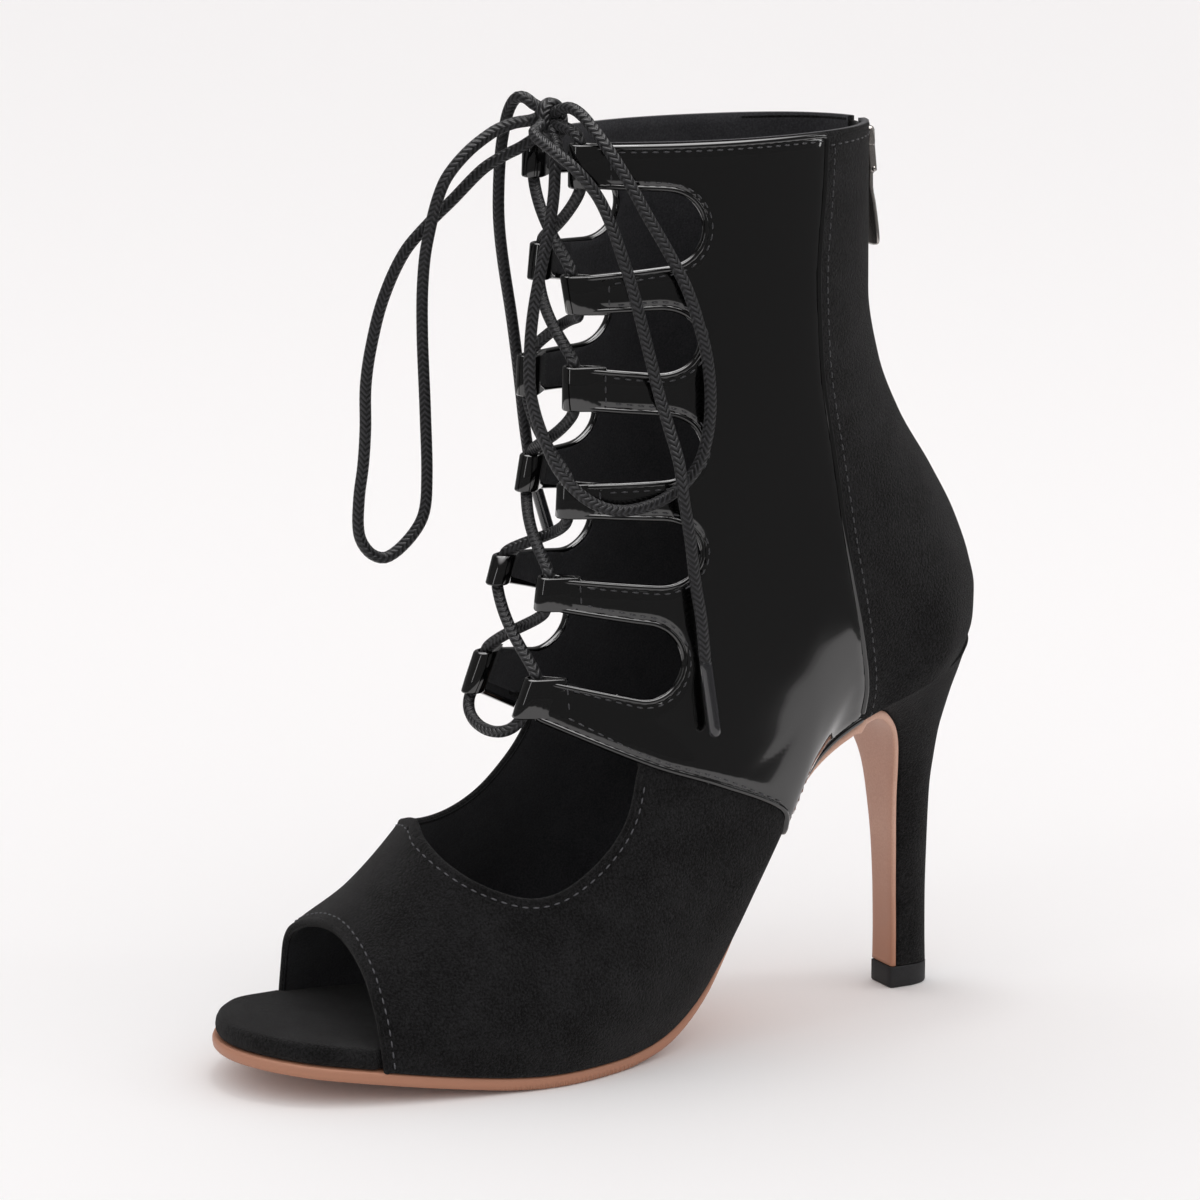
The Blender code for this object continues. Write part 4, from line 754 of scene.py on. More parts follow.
class Last:
    """The boot's outer form, read from the part's tables."""

    def __init__(self) -> None:
        """Reads the tables on a fine grid of levels and angles."""
        self.levels = np.linspace(0, 1, 201)
        rows = [
            (along(f), fz * COLLAR_HEIGHT, along(b), SEAT_HEIGHT + s * SHAFT_HEIGHT, sag)
            for f, fz, b, s, sag in SLICES
        ]
        self.rows = smooth(np.linspace(0, 1, len(rows)), rows, self.levels)
        self.angles = np.linspace(0, math.pi, 181)
        stations = [math.acos(1 - 2 * share) for share in STATIONS]
        places = [0.0, *stations, math.pi]
        self.widths = {}
        for side in Side:
            table = []
            for girth in GIRTHS:
                widths = girth[1] if side is Side.LATERAL else girth[2]
                ratio = [w * BALL_WIDTH / math.sin(a) for w, a in zip(widths, stations)]
                table.append([ratio[0], *ratio, ratio[-1]])
            ratios = smooth([girth[0] for girth in GIRTHS], table, self.levels)
            blunt = np.array([smooth(places, row, self.angles)[:, 0] for row in ratios])
            self.widths[side] = blunt
        self.base = self.rows[0]

    def joint(self, y: Array) -> Array:
        """Height of the line where upper and sole meet."""
        return self.line(JOINT_LINE, y)

    @staticmethod
    def angle(y: Array, row: Array) -> Array:
        """Angle round a slice, from its front to its back, at Y."""
        share = np.clip((y - row[:, 0]) / (row[:, 2] - row[:, 0]), 0, 1)
        return np.arccos(1 - 2 * share)

    @staticmethod
    def line(table: Sequence, y: Array) -> Array:
        """Height of a sole line at Y.

        Args:
            table: the line, as shares of the length and of the seat's height.
            y: places along the boot.

        Returns:
            One height for each place.
        """
        share = np.asarray(y, float) / LENGTH + 0.5
        heights = smooth([row[0] for row in table], [row[1] for row in table], share)
        return heights[:, 0] * SEAT_HEIGHT

    def row(self, level: Array) -> Array:
        """Front y and z, back y and z, and sag of slices."""
        return read(level, self.levels, self.rows)

    def half_width(self, level: Array, angle: Array, side: Side) -> Array:
        """Half widths at levels and angles.

        Args:
            level: shares of the way from the joint line up to the collar.
            angle: angles round the slice, 0 in front and pi behind.
            side: the side.

        Returns:
            The half widths.
        """
        table = self.widths[side]
        u = np.clip(level, 0, 1) * (len(self.levels) - 1)
        v = np.clip(angle / math.pi, 0, 1) * (len(self.angles) - 1)
        i = np.clip(u.astype(int), 0, len(self.levels) - 2)
        j = np.clip(v.astype(int), 0, len(self.angles) - 2)
        s, t = u - i, v - j
        blunt = (
            table[i, j] * (1 - s) * (1 - t)
            + table[i + 1, j] * s * (1 - t)
            + table[i, j + 1] * (1 - s) * t
            + table[i + 1, j + 1] * s * t
        )
        return blunt * np.sin(angle)

    def point(self, level: Array, angle: Array, side: Side) -> Array:
        """Points of the outer face at levels and angles.

        Args:
            level, angle, side: as for half_width.

        Returns:
            One point for each pair.
        """
        level = np.atleast_1d(np.asarray(level, float))
        angle = np.broadcast_to(np.asarray(angle, float), level.shape)
        front_y, front_z, back_y, back_z, sag = self.row(level).T
        share = (1 - np.cos(angle)) / 2
        base = self.base
        base_y = base[0] + (base[2] - base[0]) * share
        arch = self.joint(base_y) + GAP - (base[1] + (base[3] - base[1]) * share)
        x = side.value * self.half_width(level, angle, side)
        y = front_y + (back_y - front_y) * share
        z = front_z + (back_z - front_z) * share + sag * arch
        return np.stack([x, y, z], axis=-1)

    def normal(self, level: Array, angle: Array, side: Side) -> Array:
        """Outward unit normals at levels and angles.

        Args:
            level, angle, side: as for half_width.

        Returns:
            One normal for each pair.
        """
        level = np.atleast_1d(np.asarray(level, float))
        angle = np.broadcast_to(np.asarray(angle, float), level.shape)
        step = 0.008
        turn = 0.03
        up = self.point(np.minimum(level + step, 1), angle, side)
        up = up - self.point(np.maximum(level - step, 0), angle, side)
        ahead = self.point(level, np.minimum(angle + turn, math.pi), side)
        ahead = ahead - self.point(level, np.maximum(angle - turn, 0), side)
        return unit(np.cross(ahead, up)) * side.value

    def find(self, y: Array, z: Array, side: Side) -> tuple[Array, Array]:
        """Levels and angles of side view points.

        Args:
            y: places along the boot.
            z: heights.
            side: the side that they lie on.

        Returns:
            Their levels and angles.
        """
        y = np.atleast_1d(np.asarray(y, float))
        z = np.atleast_1d(np.asarray(z, float))
        low, high = np.zeros_like(y), np.ones_like(y)
        for _ in range(26):
            level = (low + high) / 2
            angle = self.angle(y, self.row(level))
            below = self.point(level, angle, side)[:, 2] < z
            low = np.where(below, level, low)
            high = np.where(below, high, level)
        return level, angle

    def place(self, path: Array, side: Side, rise: float = 0.0) -> tuple:
        """Puts side view points on the outer face.

        Args:
            path: (y, z) points.
            side: the side that they lie on.
            rise: height over the face.

        Returns:
            The points in space and the outward normals there.
        """
        path = np.asarray(path, float)
        level, angle = self.find(path[:, 0], path[:, 1], side)
        normals = self.normal(level, angle, side)
        return self.point(level, angle, side) + normals * rise, normals

    def ridge(self, y: float) -> tuple[Array, float]:
        """The point of the front ridge at Y, and its level."""
        level = np.interp(y, self.rows[:, 0], self.levels)
        return self.point(np.array([level]), np.array([0.0]), Side.LATERAL)[0], float(level)

    def outline(self, count: int, side: Side, inset: float) -> tuple[Array, Array]:
        """The sole's outline, moved inwards: Y and half widths from toe to seat.

        Args:
            count: number of places.
            side: the side.
            inset: how far it moves inwards.

        Returns:
            The places along the boot and the half widths there.
        """
        angles = np.linspace(0, math.pi, count)
        base = self.base
        y = base[0] + (base[2] - base[0]) * (1 - np.cos(angles)) / 2
        w = self.half_width(np.zeros(count), angles, side)
        run = unit(np.stack([np.gradient(y), np.gradient(w)], axis=1))
        return y + run[:, 1] * inset, np.maximum(w - run[:, 0] * inset, 0.0)


# Finishes


def add_node(
    tree: NodeTree, kind: str, inputs: dict | None = None, **settings: object
) -> Node:
    """Adds a node with its settings and links.

    Args:
        tree: the node tree.
        kind: the node's type, after the word ShaderNode.
        inputs: values or output sockets by input name or number.
        settings: the node's own properties.

    Returns:
        The new node.
    """
    item = tree.nodes.new(f"ShaderNode{kind}")
    for key, value in settings.items():
        setattr(item, key, value)
    for key, value in (inputs or {}).items():
        if isinstance(value, NodeSocket):
            tree.links.new(value, item.inputs[key])
        else:
            item.inputs[key].default_value = value
    return item


@dataclass(frozen=True)
class Finish:
    """A plain finish: constant values on the shader's own sockets."""

    name: str
    colour: str
    roughness: float
    metallic: float = 0.0
    coat: float = 0.0
    coat_roughness: float = 0.03
    sheen: float = 0.0
    sheen_roughness: float = 0.5
    specular: float = 0.5
    transmission: float = 0.0
    tint: str = "#ffffff"

    def build(self) -> Material:
        """Makes the material.

        Returns:
            The new material.
        """
        material = bpy.data.materials.new(self.name)
        material.use_nodes = True
        tree = material.node_tree
        shader = tree.nodes["Principled BSDF"]
        values = {
            "Base Color": linear(self.colour),
            "Roughness": self.roughness,
            "Metallic": self.metallic,
            "Coat Weight": self.coat,
            "Coat Roughness": self.coat_roughness,
            "Sheen Weight": self.sheen,
            "Sheen Roughness": self.sheen_roughness,
            "Sheen Tint": linear(self.tint),
            "Specular IOR Level": self.specular,
            "Transmission Weight": self.transmission,
        }
        for key, value in values.items():
            shader.inputs[key].default_value = value
        self.pattern(tree, shader)
        return material

    def pattern(self, tree: NodeTree, shader: Node) -> None:
        """Adds the finish's own pattern: none here.

        Args:
            tree: the material's nodes.
            shader: its shader.
        """

    @staticmethod
    def bump(
        tree: NodeTree, shader: Node, height: NodeSocket,
        strength: float, distance: float,
    ) -> None:
        """Bumps the surface by a height pattern.

        Args:
            tree: the material's nodes.
            shader: its shader.
            height: the pattern.
            strength: the bump's strength.
            distance: the height of the bumps.
        """
        bump = add_node(
            tree, "Bump",
            {"Height": height, "Strength": strength, "Distance": distance},
        )
        tree.links.new(bump.outputs["Normal"], shader.inputs["Normal"])


@dataclass(frozen=True)
class Speckled(Finish):
    """A finish with a fine two-tone grain on the object's own coordinates."""

    second: str = "#000000"
    grain: float = 0.0006
    patch: float = 0.012
    depth: float = 0.00012
    strength: float = 0.6

    def pattern(self, tree: NodeTree, shader: Node) -> None:
        """Mixes two tones by fine grain and broad patches, and bumps the grain.

        Args:
            tree: the material's nodes.
            shader: its shader.
        """
        where = add_node(tree, "TexCoord").outputs["Object"]
        fine = add_node(
            tree, "TexNoise",
            {"Vector": where, "Scale": 1 / self.grain, "Detail": 4.0, "Roughness": 0.65},
        )
        broad = add_node(
            tree, "TexNoise",
            {"Vector": where, "Scale": 1 / self.patch, "Detail": 3.0, "Roughness": 0.6},
        )
        both = add_node(
            tree, "Math",
            {0: broad.outputs["Fac"], 1: 0.4, 2: fine.outputs["Fac"]},
            operation="MULTIPLY_ADD",
        )
        share = add_node(
            tree, "MapRange",
            {"Value": both.outputs[0], "From Min": 0.56, "From Max": 0.88},
        )
        ramp = add_node(tree, "ValToRGB", {"Fac": share.outputs[0]})
        ramp.color_ramp.elements[0].color = linear(self.colour)
        ramp.color_ramp.elements[1].color = linear(self.second)
        tree.links.new(ramp.outputs["Color"], shader.inputs["Base Color"])
        self.bump(tree, shader, fine.outputs["Fac"], self.strength, self.depth)


@dataclass(frozen=True)
class Patent(Finish):
    """Patent leather: a lacquered face that is slightly uneven."""

    wave: float = 0.030
    depth: float = 0.0003

    def pattern(self, tree: NodeTree, shader: Node) -> None:
        """Lets the lacquer swim a little, as over soft leather.

        Args:
            tree: the material's nodes.
            shader: its shader.
        """
        where = add_node(tree, "TexCoord").outputs["Object"]
        swim = add_node(
            tree, "TexNoise",
            {"Vector": where, "Scale": 1 / self.wave, "Detail": 1.0, "Roughness": 0.4},
        )
        self.bump(tree, shader, swim.outputs["Fac"], 1.0, self.depth)
        for item in tree.nodes:
            if item.type == "BUMP":
                tree.links.new(item.outputs["Normal"], shader.inputs["Coat Normal"])


@dataclass(frozen=True)
class Braid(Finish):
    """A round waxed braid: strands in chevrons on the UV map."""

    strands: float = 6.0
    depth: float = 0.00025
    # painted highlight: the paler colour on the strands' crowns
    painted_strand_highlight: str = "#2c2c2f"

    def pattern(self, tree: NodeTree, shader: Node) -> None:
        """Draws the strands as bumps, paler on their crowns as painted highlight.

        Args:
            tree: the material's nodes.
            shader: its shader.
        """
        map_node = add_node(tree, "UVMap", uv_map="UVMap")
        parts = add_node(tree, "SeparateXYZ", {0: map_node.outputs["UV"]})
        columns = add_node(
            tree, "Math", {0: parts.outputs["X"], 1: self.strands},
            operation="MULTIPLY",
        )
        slant = add_node(
            tree, "Math", {0: columns.outputs[0], 1: 1.0}, operation="PINGPONG"
        )
        phase = add_node(
            tree, "Math", {0: slant.outputs[0], 1: parts.outputs["Y"]},
            operation="ADD",
        )
        turn = add_node(
            tree, "Math", {0: phase.outputs[0], 1: 2 * math.pi},
            operation="MULTIPLY",
        )
        top = add_node(tree, "Math", {0: turn.outputs[0]}, operation="SINE")
        share = add_node(
            tree, "MapRange",
            {"Value": top.outputs[0], "From Min": -0.6, "From Max": 1.0},
        )
        ramp = add_node(tree, "ValToRGB", {"Fac": share.outputs[0]})
        ramp.color_ramp.elements[0].color = linear(self.colour)
        # painted highlight on the strands' crowns
        ramp.color_ramp.elements[1].color = linear(self.painted_strand_highlight)
        tree.links.new(ramp.outputs["Color"], shader.inputs["Base Color"])
        self.bump(tree, shader, share.outputs[0], 0.9, self.depth)


@dataclass(frozen=True)
class SoleBoard(Speckled):
    """Sole leather with fine tread ribs pressed across its lower edge."""

    rib: float = 0.0014
    rib_depth: float = 0.00018
    # painted shade: the colour that the sole darkens to towards the floor
    low: str = "#a5745c"

    def pattern(self, tree: NodeTree, shader: Node) -> None:
        """Darkens the colour towards the floor as painted shade, and adds ribs under the height of
        the tread.

        Args:
            tree: the material's nodes.
            shader: its shader.
        """
        super().pattern(tree, shader)
        grain = next(item for item in tree.nodes if item.type == "BUMP")
        where = add_node(tree, "TexCoord").outputs["Object"]
        parts = add_node(tree, "SeparateXYZ", {0: where})
        # painted shade: the colour darkens from 45 mm above the floor down to 8 mm
        high = add_node(
            tree, "MapRange",
            {"Value": parts.outputs["Z"], "From Min": 0.008, "From Max": 0.045},
        )
        painted_floor_shade = add_node(
            tree, "Mix",
            {
                0: high.outputs[0], 6: linear(self.low),
                7: shader.inputs["Base Color"].links[0].from_socket,
            },
            data_type="RGBA",
        )
        tree.links.new(painted_floor_shade.outputs[2], shader.inputs["Base Color"])
        phase = add_node(
            tree, "Math", {0: parts.outputs["Y"], 1: 2 * math.pi / self.rib},
            operation="MULTIPLY",
        )
        wave = add_node(tree, "Math", {0: phase.outputs[0]}, operation="SINE")
        low = add_node(
            tree, "MapRange",
            {
                "Value": parts.outputs["Z"], "From Min": 0.0012, "From Max": 0.0019,
                "To Min": 1.0, "To Max": 0.0,
            },
        )
        tread = add_node(
            tree, "Math", {0: wave.outputs[0], 1: low.outputs[0]},
            operation="MULTIPLY",
        )
        bump = add_node(
            tree, "Bump",
            {
                "Height": tread.outputs[0], "Distance": self.rib_depth,
                "Strength": 1.0, "Normal": grain.outputs["Normal"],
            },
        )
        tree.links.new(bump.outputs["Normal"], shader.inputs["Normal"])


def made(finish: Finish) -> Material:
    """A dataclass field that holds a finish's material."""
    return field(default_factory=finish.build)


@dataclass
class Wardrobe:
    """The finishes of the boot."""

    # Goat suede, buffed: no gloss, a short nap that catches light at grazing angles. Its
    # fibres are too fine to show, so the grain is drawn 0.6 mm coarse
    suede: Material = made(
        Speckled(
            "black_goat_suede", "#060606", 0.95, sheen=0.11, specular=0.08, tint="#cfcdcd",
            second="#222223", depth=0.0007, strength=1.0,
        )
    )
    # Microfibre lining: smoother than the suede, its grain drawn 0.5 mm coarse to show
    lining: Material = made(
        Speckled(
            "black_microfibre_lining", "#212124", 0.85, sheen=0.15, specular=0.2,
            second="#343437", grain=0.0005, depth=0.0002,
        )
    )
    # Patent leather: urethane lacquer, near mirror gloss over black
    patent: Material = made(
        Patent("black_patent_leather", "#030303", 0.10, coat=1.0, coat_roughness=0.01)
    )
    # Bonded polyester thread, slightly glossy
    thread: Material = made(
        Finish("black_bonded_thread", "#2b2b2f", 0.38, sheen=0.2)
    )
    # The same thread on the suede, where it shows paler
    pale_thread: Material = made(Finish("grey_bonded_thread", "#4a4a4e", 0.6))
    # Sole leather board, stained terracotta and sealed: a satin face, a faint fibre grain, and
    # painted shade darker towards the floor
    sole: Material = made(
        SoleBoard(
            "stained_sole_leather", "#bb9380", 0.45, specular=0.35, second="#c7a08d",
            grain=0.0005, patch=0.02, depth=0.00003, strength=0.4,
        )
    )
    # Rubber, moulded and cut: matte
    rubber: Material = made(
        Speckled(
            "black_top_piece_rubber", "#19191b", 0.62, specular=0.4, second="#222224",
            grain=0.0005, depth=0.00003,
        )
    )
    # Waxed cotton braid: dark, with a greasy sheen on the strands and a painted highlight paler on
    # their crowns
    lace: Material = made(
        Braid("waxed_cotton_braid", "#060607", 0.42, sheen=0.05, specular=0.4)
    )
    # Nylon coil and tape of the zip: dull, moulded
    coil: Material = made(Finish("black_nylon_coil", "#121213", 0.5))
    # Die cast zinc, plated gunmetal and polished: soft grey gloss
    metal: Material = made(
        Speckled(
            "polished_gunmetal", "#aaa5a1", 0.24, metallic=0.85, second="#9d9894",
            grain=0.0009, depth=0.000004, strength=0.2,
        )
    )
    # Acetate film rolled round the lace's end: clear grey over black braid
    film: Material = made(
        Finish("clear_acetate_film", "#2b2b2e", 0.16, transmission=0.35, coat=0.6)
    )


def dress(obj: Object, slot: str, *nodes: str, body: str = BODY) -> Object:
    """Lets a piece ride on a body, hides the CAD nodes that it stands for and logs their names.

    Args:
        obj: the piece.
        slot: the record's material slot; not used.
        nodes: CAD nodes that it replaces.
        body: the body that it rides on.

    Returns:
        The piece.
    """
    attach(obj, body)
    if nodes:
        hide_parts(*nodes)
    LOG.info("%s on %s for %s", obj.name, body, ", ".join(nodes) or "no node")
    return obj


# Side view outlines


@dataclass
class Pattern:
    """The cutting pattern of one side: outlines in side view, from the part's tables."""

    last: Last
    side: Side

    def fronts(self) -> list[tuple]:
        """Front end of each finger's flat part, as (top, bottom) pairs.

        Returns:
            A pair of side view points for each finger, from the collar down.
        """
        return [
            (
                (along(top_y) + LOOP_REACH, top * COLLAR_HEIGHT),
                (along(low_y) + LOOP_REACH, low * COLLAR_HEIGHT),
            )
            for top_y, low_y, top, low in FINGERS[self.side]
        ]

    @staticmethod
    def nose(row: tuple) -> list[tuple]:
        """Rounded rear end of one cut-out, from its top edge to its bottom edge.

        Args:
            row: the cut-out's row in its table.

        Returns:
            Side view points.
        """
        deep = CUTOUT_NOSE * LENGTH
        centre = along(row[0]) - deep
        middle = (row[1] + row[2]) / 2 * COLLAR_HEIGHT
        half = (row[1] - row[2]) / 2 * COLLAR_HEIGHT
        turns = np.linspace(math.pi / 2, -math.pi / 2, 15)
        return [(centre + deep * math.cos(a), middle + half * math.sin(a)) for a in turns]

    def comb(self, overlap: float) -> Array:
        """Fingers and cut-outs from the collar down to the first finger's foot.

        Args:
            overlap: how far the fingers reach forward into their folded ends.

        Returns:
            Dense side view points with the leather on their left.
        """
        fronts = self.fronts()
        points = []
        for index, (top, bottom) in enumerate(fronts):
            if index:
                points += [np.array(self.nose(CUTOUTS[self.side][index - 1]))]
            shift = (-overlap, 0.0)
            points += [np.array([np.add(top, shift), np.add(bottom, shift)])]
        return resample(np.vstack(points), FINE)

    def seam(self) -> Array:
        """Rear seam of the quarter from its foot up to the collar.

        Returns:
            Side view points.
        """
        table = trace(QUARTER_SEAM)[::-1]
        rise = np.linspace(table[0, 1], COLLAR_HEIGHT, 90)
        y = smooth(table[:, 1], table[:, 0], rise)[:, 0]
        return np.stack([y, rise], axis=1)

    def quarter(self, overlap: float) -> tuple[Array, Array]:
        """Outline of the patent quarter, with its leather on the left.

        Args:
            overlap: how far the fingers reach forward into their folded ends.

        Returns:
            The free rim, from the seam's foot round to the lower corner, and the foot
            that stands on the sole, from there back to the seam.
        """
        comb = self.comb(overlap)
        edge = curved(np.vstack([comb[-1:], trace(QUARTER_EDGE)]), FINE)
        start, end = edge[-1], self.seam()[0]
        y = np.linspace(start[0], end[0], 40)
        z = np.interp(y, [start[0], end[0]], [start[1], end[1]])
        z = np.maximum(z, self.last.joint(y) + HEM_CLEARANCE)
        foot = np.stack([y, z], axis=1)
        seam = self.seam()
        seam = seam[seam[:, 1] > foot[-1, 1] + 0.0006]
        top = np.linspace(seam[-1], comb[0], 60)
        rim = resample(np.vstack([seam, top[1:-1], comb, edge[1:]]), FINE)
        return rim, foot

    def throat(self) -> Array:
        """Edge of the vamp's throat, from its crest back to the first finger."""
        return curved(trace(THROATS[self.side]), FINE)

    def opening(self) -> Array:
        """Closed outline of all that is open in front, grown into the leather.

        Returns:
            Side view points.
        """
        comb = self.comb(0.0)
        throat = self.throat()[::-1]
        edge = offset(np.vstack([comb, throat]), EDGE_WIDTH)
        high = 1.1 * COLLAR_HEIGHT
        front = along(0.225)
        return np.vstack(
            [[(front, high), (edge[0][0], high)], edge, [(front, edge[-1][1])]]
        )


# Sub-assemblies


@dataclass
class Upper:
    """Suede shell, patent quarters, their folded edges and their stitching."""

    last: Last
    cloth: Wardrobe
    levels: int = 120
    around: int = 84
    inner_edge_lift: float = 0.0009
    finger_overlap: float = 0.0045
    hem_top: float = 0.0010
    hem_bottom: float = -0.0006
    sheet_under: float = 0.0004
    roll_depth: float = 0.00045
    roll_width: float = 0.0013
    sliver: float = 0.00035
    crest_swell: float = 0.9
    zip_margin: float = 0.14

    def build(self) -> None:
        """Builds every piece of the upper."""
        self.shell()
        for side in Side:
            self.quarter(side)
        self.throat_edge()
        self.peep_edge()
        self.back_rim()

    def shell(self) -> None:
        """The suede shell with its lining, cut open as the part is."""
        front = np.linspace(0, math.pi, self.around)
        back = front[::-1][1:-1]
        outer, normals = (
            np.array(
                [
                    np.vstack(
                        [
                            measure(np.full(len(front), level), front, Side.LATERAL),
                            measure(np.full(len(back), level), back, Side.MEDIAL),
                        ]
                    )
                    for level in np.linspace(0, 1, self.levels)
                ]
            )
            for measure in (self.last.point, self.last.normal)
        )
        normals[:, 0] = unit(normals[:, 0] * (0, 1, 1))
        normals[:, self.around - 1] = unit(normals[:, self.around - 1] * (0, 1, 1))
        inner = outer - normals * WALL
        foot = self.last.joint(inner[0, :, 1]) + self.inner_edge_lift
        inner[0, :, 2] = np.maximum(inner[0, :, 2], foot)
        places = np.vstack([outer, inner[::-1]])
        shell = lofted(
            "suede_upper", places, [self.cloth.suede, self.cloth.lining],
            close_rows=True, inner_from=self.levels - 1,
        )
        reach = BALL_WIDTH
        cutters = []
        for side in Side:
            outline = Pattern(self.last, side).opening()
            cutters.append(prism(outline, -side.value * WALL, side.value * reach))
        deep = LENGTH / 2
        edge = along(PEEP_CUT) + EDGE_WIDTH
        cutters.append(block((0, edge - deep / 2, 0.05), (2 * reach, deep, 0.1)))
        low, high = ZIP_BOTTOM * COLLAR_HEIGHT, 1.1 * COLLAR_HEIGHT
        size = (2 * ZIP_HALF + 2 * GAP, LENGTH / 2, high - low)
        cutters.append(block((0, LENGTH / 2, (low + high) / 2), size))
        cut(shell, cutters)
        dress(shell, "suede", "upper")

    def quarter(self, side: Side) -> None:
        """A patent quarter: lacquered sheet, folded edge and thread.

        Args:
            side: its side.
        """
        pattern = Pattern(self.last, side)
        rim, foot = pattern.quarter(self.finger_overlap)
        edge = offset(rim, EDGE_WIDTH)
        below = foot[(foot[:, 0] > edge[-1, 0] + 0.0003) & (foot[:, 0] < edge[0, 0])]
        self.sheet(f"patent_quarter_{side.label}", np.vstack([edge, below]), side)
        rim = self.last.place(relaxed(edge, 3), side)
        self.bead(f"patent_edge_{side.label}", rim, (PATENT_TOP + EDGE_OUT, -WALL), EDGE_WIDTH)
        path, normals = self.last.place(below, side)
        path = relaxed(resample(path, FINE), 12)
        hem = path, spread(normals, len(path))
        self.bead(f"patent_hem_{side.label}", hem, (self.hem_top, self.hem_bottom), EDGE_WIDTH)
        self.thread(pattern, side)

    def bead(
        self, name: str, row: tuple, heights: tuple[float, float], half_width: float | Array,
        slot: str = "patent_leather",
    ) -> None:
        """A folded leather edge.

        Args:
            name: the piece's name.
            row: points and normals of the outer face along the edge.
            heights: top and bottom of the fold over the outer face.
            half_width: half its width, one number or one for each point.
            slot: the record's material slot.
        """
        path, normals = row
        top, bottom = heights
        material = self.cloth.suede if slot == "suede" else self.cloth.patent
        centres = path + normals * (top + bottom) / 2
        dress(swept(name, centres, normals, ((top - bottom) / 2, half_width), material), slot)

    def sheet(self, name: str, outline: Array, side: Side) -> None:
        """A sheet of patent leather over the foot's form, within a side view outline.

        Args:
            name: the piece's name.
            outline: its closed outline, (y, z) points.
            side: its side.
        """
        points = outline if side is Side.LATERAL else outline[::-1]
        work = bmesh.new()
        work.faces.new([work.verts.new((0, y, z)) for y, z in points])
        for axis, way in enumerate((Vector((0, 1, 0)), Vector((0, 0, 1)))):
            low, high = outline[:, axis].min(), outline[:, axis].max()
            for value in np.arange(low + SHEET_STEP / 2, high, SHEET_STEP):
                every = work.verts[:] + work.edges[:] + work.faces[:]
                bmesh.ops.bisect_plane(
                    work, geom=every, dist=1e-6, plane_co=way * float(value), plane_no=way
                )
        bmesh.ops.remove_doubles(work, verts=work.verts, dist=self.sliver)
        flat = np.array([(vert.co.y, vert.co.z) for vert in work.verts])
        fine = resample(outline, 0.0004, closed=True)
        near = np.array([np.linalg.norm(fine - spot, axis=1).min() for spot in flat])
        rise = PATENT_TOP - self.roll_depth * np.exp(-((near / self.roll_width) ** 2))
        spots, _ = self.last.place(flat, side, rise[:, None])
        for vert, spot in zip(work.verts, spots):
            vert.co = spot
        obj = finish_mesh(name, work, [self.cloth.patent, self.cloth.lining], closed=False)
        wall = obj.modifiers.new("wall", "SOLIDIFY")
        wall.thickness = PATENT_TOP + self.sheet_under
        wall.offset = -1.0
        wall.material_offset = 1
        dress(obj, "patent_leather")

    def thread(self, pattern: Pattern, side: Side) -> None:
        """Stitch rows of a quarter: round the cut-outs, along its edges and its seam.

        Args:
            pattern: the side's cutting pattern.
            side: its side.
        """
        rows = []
        fronts = pattern.fronts()
        for index, row in enumerate(CUTOUTS[side]):
            turn = [fronts[index][1], *pattern.nose(row), fronts[index + 1][0]]
            path = offset(resample(np.array(turn), FINE), STITCH_INSET)[3:-3]
            rows.append(self.last.place(relaxed(path, 4), side, PATENT_TOP))
        foot = fronts[-1][1]
        edge = curved(np.vstack([[foot], trace(QUARTER_EDGE)[:3]]), 0.001)
        edge = offset(edge, STITCH_INSET)
        rows.append(self.last.place(edge[3:-2], side, PATENT_TOP))
        first = (fronts[0][0][0] + 0.002, COLLAR_HEIGHT - STITCH_INSET)
        last = (pattern.seam()[-1][0] - STITCH_INSET, COLLAR_HEIGHT - STITCH_INSET)
        rows.append(self.last.place(np.linspace(first, last, 60), side, PATENT_TOP))
        for top, bottom in fronts:
            y = max(top[0], bottom[0]) + THREAD_START
            high = min(top[1], COLLAR_HEIGHT) - THREAD_MARGIN
            path = np.linspace((y, high), (y, bottom[1] + THREAD_MARGIN), 8)
            rows.append(self.last.place(path, side, PATENT_TOP))
        sewn = stitches(f"thread_quarter_{side.label}", rows, self.cloth.thread)
        dress(sewn, "patent_leather")
        seam = offset(pattern.seam(), -STITCH_INSET)
        row = self.last.place(seam[2:-2], side, 0.0)
        dress(stitches(f"thread_seam_{side.label}", [row], self.cloth.thread), "suede")

    def over_ridge(self, shift: float, skip: float = 0.0) -> tuple[Array, Array]:
        """The throat's edge moved into the leather, from the lateral side over the ridge.

        Args:
            shift: how far it moves into the leather.
            skip: length left off at both ends.

        Returns:
            Points and outward normals.
        """
        parts = []
        for side in Side:
            path = offset(Pattern(self.last, side).throat()[::-1], shift)
            tops = np.array([self.last.ridge(y)[0][2] for y in path[:, 0]])
            path = path[path[:, 1] < tops - EDGE_OUT][int(skip / FINE) :]
            spots, normals = self.last.place(path, side)
            parts.append((spots, normals, path[-1, 0]))
        crest_y = (parts[0][2] + parts[1][2]) / 2
        crest, level = self.last.ridge(crest_y)
        up = self.last.normal(np.array([level]), np.array([RIDGE_ANGLE]), Side.LATERAL)[0]
        up = unit(up * (0, 1, 1))
        path = np.vstack([parts[0][0], [crest], parts[1][0][::-1]])
        normals = np.vstack([parts[0][1], [up], parts[1][1][::-1]])
        path = relaxed(resample(path, FINE), 6)
        return path, spread(normals, len(path))

    def throat_edge(self) -> None:
        """Folded suede edge of the throat and the stitch row behind it."""
        path, normals = self.over_ridge(EDGE_WIDTH)
        crest = np.abs(path[:, 0]) / (0.2 * BALL_WIDTH)
        wide = EDGE_WIDTH * (1 + self.crest_swell * np.exp(-(crest**2)))
        self.bead("throat_edge", (path, normals), (EDGE_OUT, -WALL - EDGE_IN), wide, "suede")
        row = self.over_ridge(STITCH_INSET, skip=0.004)
        dress(stitches("thread_throat", [row], self.cloth.pale_thread), "suede")

